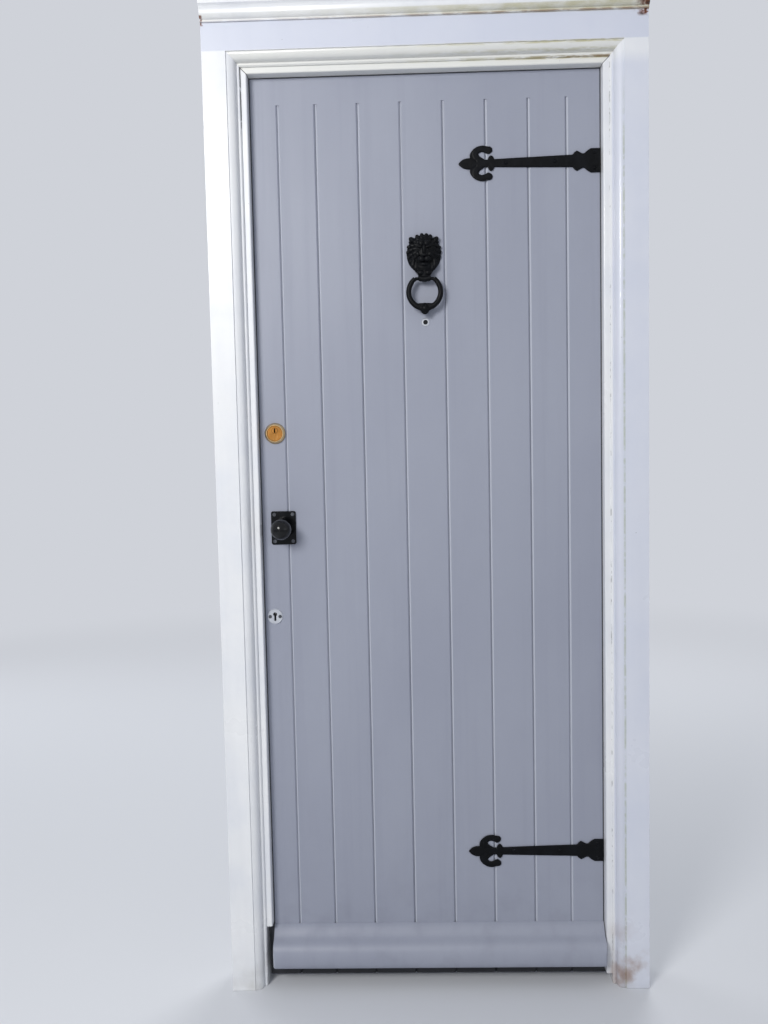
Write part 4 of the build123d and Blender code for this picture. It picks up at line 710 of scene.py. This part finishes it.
class Clay:
    """Closed forms that are fused into one skin, as a casting is."""

    def __init__(self) -> None:
        """Start with no form and one plain ball that every other is stretched from."""
        form = bmesh.new()
        bmesh.ops.create_icosphere(form, subdivisions=BALL_DETAIL, radius=1.0)
        self.ball_points = [point.co.copy() for point in form.verts]
        self.ball_faces = [[point.index for point in face.verts] for face in form.faces]
        form.free()
        self.points: list[Vector] = []
        self.faces: list[list[int]] = []

    def ball(self, middle: Vector, radii: tuple[float, float, float], tilt: float = 0.0,
             lean: float = 0.0) -> None:
        """Add an ellipsoid, in millimetres, turned in the front plane and leant, in degrees."""
        shape = (
            Matrix.Translation(Vector(middle) * MM)
            @ Matrix.Rotation(math.radians(tilt), 4, "Y")
            @ Matrix.Rotation(math.radians(lean), 4, "X")
            @ Matrix.Diagonal((*(r * MM for r in radii), 1.0))
        )
        base = len(self.points)
        self.points.extend(shape @ point for point in self.ball_points)
        self.faces.extend([base + number for number in face] for face in self.ball_faces)

    def lock(self, path: list[Vector], radii: list[float], flat: float = 1.0) -> None:
        """Add a tapering curl along a path.

        Args:
            path: Points in millimetres, smoothed where there are as many as radii.
            radii: The radius at each point, or at even steps along the path.
            flat: The share of the radius that is kept in depth.
        """
        along = curve(path, LOCK_STEPS) if len(path) == len(radii) else path
        for number, point in enumerate(along):
            share = number / (len(along) - 1) * (len(radii) - 1)
            low = min(int(share), len(radii) - 2)
            radius = radii[low] + (radii[low + 1] - radii[low]) * (share - low)
            self.ball(point, (radius, radius * flat, radius))

    def copy_of(self, source: bpy.types.Object) -> None:
        """Add a CAD node's own shape."""
        form = bmesh.new()
        form.from_mesh(source.data)
        bmesh.ops.remove_doubles(form, verts=form.verts, dist=1e-6)
        form.verts.index_update()
        base = len(self.points)
        self.points.extend(point.co.copy() for point in form.verts)
        self.faces.extend([base + point.index for point in face.verts] for face in form.faces)
        form.free()

    def fuse(self, name: str, grain: float, smoothing: int,
             bore: bpy.types.Object | None = None) -> bpy.types.Object:
        """Fuse the forms into one skin.

        Args:
            name: The piece's name.
            grain: The size of the skin's cells, in millimetres.
            smoothing: How many times the skin is smoothed.
            bore: A form that is cut away from the skin, and then removed.

        Returns:
            The piece, in the object's frame.
        """
        rough = bpy.data.meshes.new(name + "_rough")
        rough.from_pydata(self.points, [], self.faces)
        maker = put(name + "_rough", rough)
        skin = maker.modifiers.new("skin", "REMESH")
        skin.mode = "VOXEL"
        skin.voxel_size = grain * MM
        skin.use_smooth_shade = True
        if smoothing:
            even = maker.modifiers.new("even", "SMOOTH")
            even.factor = 0.5
            even.iterations = smoothing
        if bore:
            hole = maker.modifiers.new("hole", "BOOLEAN")
            hole.operation = "DIFFERENCE"
            hole.object = bore
        graph = bpy.context.evaluated_depsgraph_get()
        mesh = bpy.data.meshes.new_from_object(maker.evaluated_get(graph))
        mesh.name = name
        bpy.data.objects.remove(maker)
        bpy.data.meshes.remove(rough)
        if bore:
            bpy.data.meshes.remove(bore.data)
        return put(name, mesh)


def curve(points: list[Vector], steps: int) -> list[Vector]:
    """Run a smooth line through some points, each stretch cut into steps."""
    ends = [2 * points[0] - points[1], *points, 2 * points[-1] - points[-2]]
    line = []
    for before, start, end, after in zip(ends, ends[1:], ends[2:], ends[3:]):
        for step in range(steps):
            t = step / steps
            line.append(0.5 * (
                2 * start + (end - before) * t
                + (2 * before - 5 * start + 4 * end - after) * t**2
                + (3 * start - before - 3 * end + after) * t**3
            ))
    return [*line, points[-1]]


def rod(start: Vector, end: Vector, radius: float) -> bpy.types.Object:
    """Make a plain rod, in millimetres, that a casting is bored with."""
    along = end - start
    mesh = bpy.data.meshes.new("bore")
    form = bmesh.new()
    turn = along.to_track_quat("Z", "Y").to_matrix().to_4x4()
    bmesh.ops.create_cone(
        form, cap_ends=True, segments=BORE_SIDES, radius1=radius * MM, radius2=radius * MM,
        depth=along.length * MM, matrix=Matrix.Translation((start + end) / 2 * MM) @ turn,
    )
    form.to_mesh(mesh)
    form.free()
    return put("bore", mesh)


def put(name: str, data: bpy.types.ID) -> bpy.types.Object:
    """Stand a new object in the scene."""
    made = bpy.data.objects.new(name, data)
    bpy.context.scene.collection.objects.link(made)
    return made


def keep_within(piece: bpy.types.Object, node: str) -> None:
    """Hold a piece inside the box of the CAD node that it stands for."""
    low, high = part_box(node)
    for vertex in piece.data.vertices:
        for axis in range(3):
            vertex.co[axis] = min(max(vertex.co[axis], low[axis]), high[axis])


@dataclass
class Door:
    """What every sub-assembly shares: the frame's objects and the finishes."""

    nodes: dict[str, bpy.types.Object]
    paints: dict[str, bpy.types.Material]

    def dress(self, piece: bpy.types.Object, slot: str, body: Body, *stands_for: str) -> None:
        """Give a new piece its finish, its body and the nodes that it stands for.

        Args:
            piece: The piece.
            slot: The record's material slot.
            body: The body that it rides on.
            stands_for: The CAD nodes that it replaces.
        """
        piece.data.materials.clear()
        piece.data.materials.append(self.paints[slot])
        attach(piece, body.value)
        if stands_for:
            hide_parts(*stands_for)
        LOG.info("%s: %d faces on %s", piece.name, len(piece.data.polygons), body.value)


@dataclass
class Carried:
    """The CAD nodes that stay, with their finishes and softened wooden edges."""

    door: Door
    board_edge: float = 0.7
    frame_edge: float = 1.2
    least_face: float = 1e-3
    sharp_dot: float = 0.88
    upright_share: float = 0.999
    sharp_degrees: float = 28.0
    wood: tuple[str, ...] = (
        "lock_stile", "hinge_stile", "board_1", "board_2", "board_3", "board_4", "board_5",
        "board_6", "board_7",
    )
    posts: tuple[str, ...] = (
        "lock_jamb", "hinge_jamb", "head", "drip_moulding", "lock_bead", "hinge_bead",
        "head_bead",
    )

    def build(self) -> None:
        """Paint each node and soften the edges of the wood."""
        for name, node in self.door.nodes.items():
            for slot in node.material_slots:
                paint = self.door.paints[slot.material.name.split(".")[0]]
                slot.link = "OBJECT"
                slot.material = paint
            LOG.info("%s: carried over", name)
        for name in self.wood:
            self._mark_upright(self.door.nodes[name])
            self._soften(self.door.nodes[name], self.board_edge, Rounded.MARKED)
        for name in self.posts:
            self._soften(self.door.nodes[name], self.frame_edge, Rounded.SHARP)

    def _mark_upright(self, node: bpy.types.Object) -> None:
        """Mark the edges that run up a node, so that its painted-over ends stay flush."""
        mesh = node.data
        places = [tuple(round(part / SAME_PLACE) for part in point.co) for point in mesh.vertices]
        meets: dict[frozenset, list[Vector]] = {}
        for face in mesh.polygons:
            if face.area < self.least_face:
                continue
            for first, last in face.edge_keys:
                meets.setdefault(frozenset((places[first], places[last])), []).append(face.normal)
        marks = mesh.attributes.new("bevel_weight_edge", "FLOAT", "EDGE")
        for edge, mark in zip(mesh.edges, marks.data, strict=True):
            first, last = edge.vertices
            along = mesh.vertices[last].co - mesh.vertices[first].co
            normals = meets.get(frozenset((places[first], places[last])), [])
            sharp = any(normal.dot(normals[0]) < self.sharp_dot for normal in normals)
            mark.value = float(sharp and abs(along.z) > self.upright_share * along.length)

    def _soften(self, node: bpy.types.Object, edge: float, limit: Rounded) -> None:
        """Round a wooden node's edges as paint does, by a width in millimetres."""
        join = node.modifiers.new("join", "WELD")
        join.merge_threshold = SAME_PLACE
        soft = node.modifiers.new("soft", "BEVEL")
        soft.width = edge * MM
        soft.segments = 2
        soft.limit_method = limit.value
        soft.angle_limit = math.radians(self.sharp_degrees)
        soft.harden_normals = True


@dataclass
class HingeFronts:
    """The two black strap fronts, with the soft uneven skin of a casting."""

    door: Door
    grain: float = 0.6
    smoothing: int = 3
    dent: float = 0.35
    dent_spacing: float = 9.0
    curl: tuple[tuple[float, float, float], ...] = (
        (51.0, 0.16, 5.2), (38.0, 0.42, 7.4), (35.5, 0.78, 7.8), (47.0, 1.0, 6.8),
        (65.0, 0.94, 7.4),
    )
    drawn_in: float = 6.5
    fleur_length: float = 80.0
    drawn_over: float = 40.0

    def build(self) -> None:
        """Make both straps."""
        for name in ("upper_hinge_front", "lower_hinge_front"):
            clay = Clay()
            clay.copy_of(self.door.nodes[name])
            self._curls(clay, name)
            piece = clay.fuse("cast_" + name, self.grain, self.smoothing)
            keep_within(piece, name)
            self._draw_in(piece, name)
            self._dent(piece, name)
            self.door.dress(piece, "black_iron", Body.LEAF, name)

    def _curls(self, clay: Clay, name: str) -> None:
        """Fill out the two curls of the fleur-de-lis, thick as in the casting."""
        low, high = extent(name)
        half = (high.z - low.z) / 2
        front = Vector((low.x, (low.y + high.y) / 2, low.z + half))
        for sign in (-1, 1):
            path = [front + Vector((along, 0.0, sign * up * (half - thick)))
                    for along, up, thick in self.curl]
            clay.lock(path, [thick for _, _, thick in self.curl], 0.3)

    def _draw_in(self, piece: bpy.types.Object, name: str) -> None:
        """Bring the fleur-de-lis a little nearer to the hinge."""
        low, _ = extent(name)
        for vertex in piece.data.vertices:
            past = (vertex.co.x / MM - low.x - self.fleur_length) / self.drawn_over
            vertex.co.x += self.drawn_in * MM * (1 - min(max(past, 0.0), 1.0))

    def _dent(self, piece: bpy.types.Object, name: str) -> None:
        """Press shallow hammer marks into the face."""
        low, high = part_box(name)
        depth = high.y - low.y
        for vertex in piece.data.vertices:
            point = vertex.co / MM / self.dent_spacing
            hollow = max(0.0, noise.noise(point)) * self.dent
            front = (high.y - vertex.co.y) / depth
            vertex.co.y += hollow * front * MM


@dataclass
class LionHead:
    """The lion's head that holds the ring, modelled as a casting."""

    door: Door
    bar: Vector
    grain: float = 0.6
    smoothing: int = 2
    radius: float = 38.0
    crown: float = 7.5
    tall: float = 1.06
    seed: int = 7
    bar_radius: float = 3.4
    bar_clearance: float = 0.5
    mouth_half_width: float = 14.0
    lip_parts: int = 9
    back_inset: float = 0.8
    back_depth: float = 11.0
    back_drop: float = 4.0
    rows: tuple[tuple[float, float, float, int, float], ...] = (
        (34.0, 4.2, 5.0, 22, 0.0), (28.0, 4.8, 10.5, 19, 0.5), (21.5, 4.4, 15.0, 16, 0.0),
    )
    hanging: tuple[tuple[float, float], ...] = ((22.0, 27.0), (16.5, 32.5), (10.0, 36.5))
    pairs: tuple[tuple[float, float, float, tuple[float, float, float], float], ...] = (
        (5.4, 19.5, 14.5, (6.0, 5.0, 7.0), 8), (8.4, 22.6, 7.2, (6.6, 3.4, 2.5), -18),
        (8.2, 20.4, 1.8, (3.3, 2.8, 2.3), -12), (12.6, 16.0, -6.5, (6.0, 7.0, 8.0), 16),
        (6.2, 24.4, -17.0, (7.4, 6.8, 6.6), -14), (3.9, 28.6, -9.9, (2.7, 2.8, 2.0), -14),
    )
    middle: Vector = field(init=False)
    draw: random.Random = field(init=False)

    def __post_init__(self) -> None:
        """Find the head's middle and start the random draws."""
        low, high = extent("knocker_head")
        self.middle = Vector(((low.x + high.x) / 2, high.y, high.z - self.radius - self.crown))
        self.draw = random.Random(self.seed)

    def build(self) -> None:
        """Make the head."""
        clay = Clay()
        across = self.radius - self.back_inset
        clay.ball(self._at(0, 1, -self.back_drop),
                  (across, self.back_depth, across + self.back_drop))
        self._mane(clay)
        self._ears(clay)
        self._face(clay)
        self._jaw(clay)
        piece = clay.fuse("cast_lion_head", self.grain, self.smoothing, self._bore())
        keep_within(piece, "knocker_head")
        self.door.dress(piece, "black_iron", Body.LEAF, "knocker_head")

    def _at(self, across: float, out: float, up: float) -> Vector:
        """Give a point from the head's middle, out from the leaf's face."""
        return self.middle + Vector((across, -out, up * self.tall))

    def _bore(self) -> bpy.types.Object:
        """Make the hole that the ring's bar turns in."""
        reach = Vector((self.radius, 0.0, 0.0))
        return rod(self.bar - reach, self.bar + reach, self.bar_radius + self.bar_clearance)

    def _mane(self, clay: Clay) -> None:
        """Lay rows of locks round the face, and let some hang beside the chin."""
        for reach, thick, rise, count, shift in self.rows:
            for number in range(count):
                turn = (number + 0.5 + shift) * 360 / count - 90
                self._curl(clay, turn + self.draw.uniform(-2, 2), reach, thick, rise)
        for sign in (-1, 1):
            clay.ball(self.bar + Vector((sign * 8.0, 1.0, 12.6)), (8.0, 6.8, 6.4))
            for across, drop in self.hanging:
                path = [self._at(sign * across, 13.0, -drop + 9.0),
                        self._at(sign * (across + 1.0), 14.0, -drop),
                        self._at(sign * (across - 1.5), 13.0, -drop - 7.5)]
                clay.lock(path, [4.6, 5.0, 3.4], 0.9)

    def _curl(self, clay: Clay, turn: float, reach: float, thick: float, rise: float) -> None:
        """Lay one lock, in a direction in degrees, that bends as it leaves the face."""
        bend = 13.0 if math.cos(math.radians(turn)) > 0 else -13.0
        path = []
        for part in (0.6, 0.8, 1.0):
            way = math.radians(turn + (1 - part) * bend * 2)
            path.append(self._at(part * reach * math.cos(way), rise + (1 - part) * 5.0,
                                 part * reach * math.sin(way)))
        clay.lock(path, [thick * 0.75, thick, thick * 0.95], 0.85)

    def _ears(self, clay: Clay) -> None:
        """Set the two ears at the top of the mane."""
        for sign in (-1, 1):
            clay.ball(self._at(sign * 25.6, 9.0, 23.4), (5.6, 5.0, 7.4), sign * 42)
            clay.ball(self._at(sign * 24.4, 13.6, 22.0), (2.6, 1.8, 4.2), sign * 42)

    def _face(self, clay: Clay) -> None:
        """Model the forehead, brows, eyes, nose and cheeks."""
        clay.ball(self._at(0, 9, -2), (17.5, 15.0, 24.0))
        for sign in (-1, 1):
            for across, out, up, radii, tilt in self.pairs:
                clay.ball(self._at(sign * across, out, up), radii, sign * tilt)
        clay.ball(self._at(0, 22.8, 0.5), (3.9, 4.8, 12.0), 0, 14)
        clay.ball(self._at(0, 28.2, -9.6), (5.0, 4.0, 3.6))

    def _jaw(self, clay: Clay) -> None:
        """Shape the lip and the chin that the ring's bar passes through."""
        clay.ball(self._at(0, 12.0, -30.0), (17.5, 12.0, 15.0))
        clay.ball(self._at(0, 21.5, -27.0), (10.0, 6.0, 4.6))
        neck = (self.bar.z - self.middle.z) / 2 - 16.0
        clay.ball(self._at(0, 12.0, neck), (13.5, 11.0, 17.0))
        for part in range(self.lip_parts):
            off = part - (self.lip_parts - 1) / 2
            across = off * self.mouth_half_width / self.lip_parts * 1.75
            drop = Vector((across, 0.0, 0.12 * off * off - 0.8))
            clay.ball(self.bar + drop, (3.2, 6.4, 6.4))


@dataclass
class KnockerRing:
    """The ring, cast in one with the pad and the boss at its foot."""

    door: Door
    grain: float = 0.6
    smoothing: int = 3
    boss: tuple[float, float, float] = (9.5, 7.5, 9.0)
    section: float = 5.0
    reach: float = 33.8
    pad_drop: float = 23.0
    pad_half: float = 12.0

    def build(self) -> None:
        """Make the ring."""
        low, high = extent("knocker_ring")
        clay = Clay()
        clay.copy_of(self.door.nodes["knocker_ring"])
        foot = Vector(((low.x + high.x) / 2, middle("knocker_ring").y, low.z + self.boss[2]))
        clay.ball(foot, self.boss)
        widest = max(self.door.nodes["knocker_ring"].data.vertices, key=lambda point: point.co.x)
        centre = Vector((foot.x, foot.y, widest.co.z / MM))
        spread = [math.radians(turn) for turn in range(-213, 34, 6)]
        round_path = [centre + Vector((math.cos(turn), 0.0, math.sin(turn))) * self.reach
                      for turn in spread]
        clay.lock(round_path, [self.section + 0.6] * 2)
        bar = [centre + Vector((across * self.pad_half, 0.0, -self.pad_drop - self.section))
               for across in (-1.0, -0.5, 0.0, 0.5, 1.0)]
        clay.lock(bar, [self.section] * 5, 0.85)
        for sign in (-1, 1):
            clay.ball(foot + Vector((sign * 8.5, 0.0, 3.5)), (9.0, 5.2, 5.0), sign * -34)
        piece = clay.fuse("cast_knocker_ring", self.grain, self.smoothing)
        keep_within(piece, "knocker_ring")
        self.door.dress(piece, "black_iron", Body.RING, "knocker_ring")


@dataclass
class Weatherboard:
    """The moulded board that throws rain off the leaf's foot: slope, hollow and round nose."""

    door: Door
    corner: float = 9.0
    end_round: float = 6.0
    outline: tuple[tuple[float, float], ...] = (
        (0.0, 1.0), (0.06, 0.985), (0.2, 0.9), (0.3, 0.82), (0.38, 0.76), (0.47, 0.715),
        (0.57, 0.68), (0.68, 0.645), (0.78, 0.6), (0.87, 0.54), (0.94, 0.455), (0.98, 0.36),
        (1.0, 0.26), (0.995, 0.16), (0.965, 0.075), (0.915, 0.02), (0.85, 0.0), (0.62, 0.0),
        (0.6, 0.05), (0.54, 0.06), (0.52, 0.0), (0.0, 0.0),
    )

    def build(self) -> None:
        """Make the board."""
        low, high = extent("weatherboard")
        form = bmesh.new()
        rings = [self._ring(form, low, high, place) for place in self._stations(low.x, high.x)]
        for first, second in zip(rings, rings[1:]):
            for number in range(len(first)):
                after = (number + 1) % len(first)
                form.faces.new((first[number], second[number], second[after], first[after]))
        form.faces.new(rings[0])
        form.faces.new(rings[-1][::-1])
        bmesh.ops.recalc_face_normals(form, faces=form.faces)
        for edge in form.edges:
            edge.smooth = edge.calc_face_angle(0.0) < math.radians(38)
        for face in form.faces:
            face.smooth = True
        mesh = bpy.data.meshes.new("planed_weatherboard")
        form.to_mesh(mesh)
        form.free()
        piece = put("planed_weatherboard", mesh)
        self.door.dress(piece, "leaf_paint", Body.LEAF, "weatherboard")

    def _stations(self, left: float, right: float) -> list[float]:
        """Give the profiles' places along the board, in millimetres, closer at its ends."""
        steps = [self.corner * (1 - math.cos(math.radians(turn))) for turn in range(0, 91, 15)]
        inner = [left + (right - left) * part / 40 for part in range(1, 40)]
        return [left + step for step in steps] + inner + [right - step for step in steps[::-1]]

    def _ring(self, form: bmesh.types.BMesh, low: Vector, high: Vector,
              place: float) -> list[bmesh.types.BMVert]:
        """Lay one profile at a place along the board, rounded back close to an end."""
        from_end = min(place - low.x, high.x - place)
        lift = self._round(self.corner, from_end)
        pull = self._round(self.end_round, from_end)
        points = []
        for out, up in self.outline:
            depth = max(high.y + (low.y - high.y) * out, low.y + pull)
            height = max(low.z + (high.z - low.z) * up, low.z + lift)
            points.append(form.verts.new(Vector((place, depth, height)) * MM))
        return points

    @staticmethod
    def _round(radius: float, from_end: float) -> float:
        """Give how far a rounded corner is cut back at a distance from its end."""
        inside = max(0.0, radius - from_end)
        return radius - math.sqrt(radius * radius - inside * inside)


@dataclass
class Studio:
    """The floor, the light and the camera."""

    camera_at: tuple[float, float, float] = (-0.0475, -2.087, 1.2075)
    aim_at: tuple[float, float, float] = (0.0, 0.0, 1.05)
    yaw: float = -0.0268
    pitch: float = -0.0735
    roll: float = -0.0214
    focal_pixels: float = 950.0
    photo_height: int = 1024
    sensor: float = 36.0
    backdrop: Colour = srgb(207, 210, 217)
    sky: Colour = (0.9, 0.94, 1.0)
    sky_light: float = 0.42

    def build(self) -> None:
        """Make the studio."""
        self._camera()
        self._floor()
        self._lights()

    def _camera(self) -> None:
        """Stand the camera where the photograph was taken."""
        data = bpy.data.cameras.new("camera")
        data.sensor_width = self.sensor
        data.lens = self.focal_pixels * self.sensor / self.photo_height
        data.clip_start = 0.01
        data.clip_end = 200.0
        camera = put("camera", data)
        ahead = Vector((
            math.sin(self.yaw) * math.cos(self.pitch),
            math.cos(self.yaw) * math.cos(self.pitch),
            math.sin(self.pitch),
        ))
        level = Vector((math.cos(self.yaw), -math.sin(self.yaw), 0.0))
        upright = level.cross(ahead)
        right = math.cos(self.roll) * level + math.sin(self.roll) * upright
        up = -math.sin(self.roll) * level + math.cos(self.roll) * upright
        turn = Matrix((right, up, -ahead)).transposed().to_4x4()
        camera.matrix_world = Matrix.Translation(Vector(self.camera_at)) @ turn
        bpy.context.scene.camera = camera

    def _floor(self) -> None:
        """Lay a pale floor that fades into the background."""
        mesh = bpy.data.meshes.new("floor")
        grid = bmesh.new()
        bmesh.ops.create_grid(grid, x_segments=8, y_segments=8, size=30.0)
        grid.to_mesh(mesh)
        grid.free()
        floor = put("floor", mesh)
        floor.location.z = -0.0005
        mesh.materials.append(self._floor_finish())

    def _floor_finish(self) -> bpy.types.Material:
        """Make the floor's material: plain near the object, background further off."""
        g = Graph.named("pale_floor")
        x, y, _ = g.axes()
        away = ((x * x + y * y) ** 0.5).ease(1500.0, 5200.0)
        near = g.node("ShaderNodeBsdfDiffuse", {}, {"Color": srgb(218, 220, 225)})
        far = g.node("ShaderNodeEmission", {}, {"Color": self.backdrop})
        seen = g.node("ShaderNodeLightPath", output="Is Camera Ray")
        mixed = g.node("ShaderNodeMixShader", {}, {0: away * seen, 1: near, 2: far})
        g.node("ShaderNodeOutputMaterial", {}, {"Surface": mixed})
        return g.owner

    def _lights(self) -> None:
        """Hang the soft lights and set the world."""
        lamps = (
            ("key", (-1.5, -2.9, 2.4), 1.2, 72.0, (1.0, 0.99, 0.97)),
            ("fill", (3.4, -2.6, 1.6), 2.6, 8.0, (0.88, 0.93, 1.0)),
            ("back", (1.4, 3.4, 3.0), 2.6, 70.0, (1.0, 1.0, 1.0)),
            ("back_fill", (-3.0, 2.6, 2.0), 2.6, 36.0, (0.96, 0.98, 1.0)),
        )
        for name, place, size, power, tint in lamps:
            data = bpy.data.lights.new(name, "AREA")
            data.shape = "DISK"
            data.size = size
            data.energy = power
            data.color = tint
            lamp = put(name, data)
            lamp.location = place
            aim = Vector(self.aim_at) - Vector(place)
            lamp.rotation_euler = aim.to_track_quat("-Z", "Y").to_euler()
        world = bpy.data.worlds.new("world")
        bpy.context.scene.world = world
        g = Graph(world)
        lit = g.node("ShaderNodeBackground", {}, {"Color": self.sky, "Strength": self.sky_light})
        shown = g.node("ShaderNodeBackground", {}, {"Color": self.backdrop})
        camera = g.node("ShaderNodeLightPath", output="Is Camera Ray")
        seen = camera.most(camera.other("Is Glossy Ray")).most(camera.other("Is Transmission Ray"))
        mixed = g.node("ShaderNodeMixShader", {}, {0: seen, 1: lit, 2: shown})
        g.node("ShaderNodeOutputWorld", {}, {"Surface": mixed})


def main() -> None:
    """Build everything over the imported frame."""
    logging.basicConfig(level=logging.INFO, format="%(message)s")
    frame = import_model()
    view = bpy.context.scene.view_settings
    view.view_transform = "Standard"
    door = Door(frame["nodes"], finishes())
    Carried(door).build()
    HingeFronts(door).build()
    LionHead(door, pivot(frame["record"], "knocker_swing")).build()
    KnockerRing(door).build()
    Weatherboard(door).build()
    Studio().build()


if __name__ == "__main__":
    main()
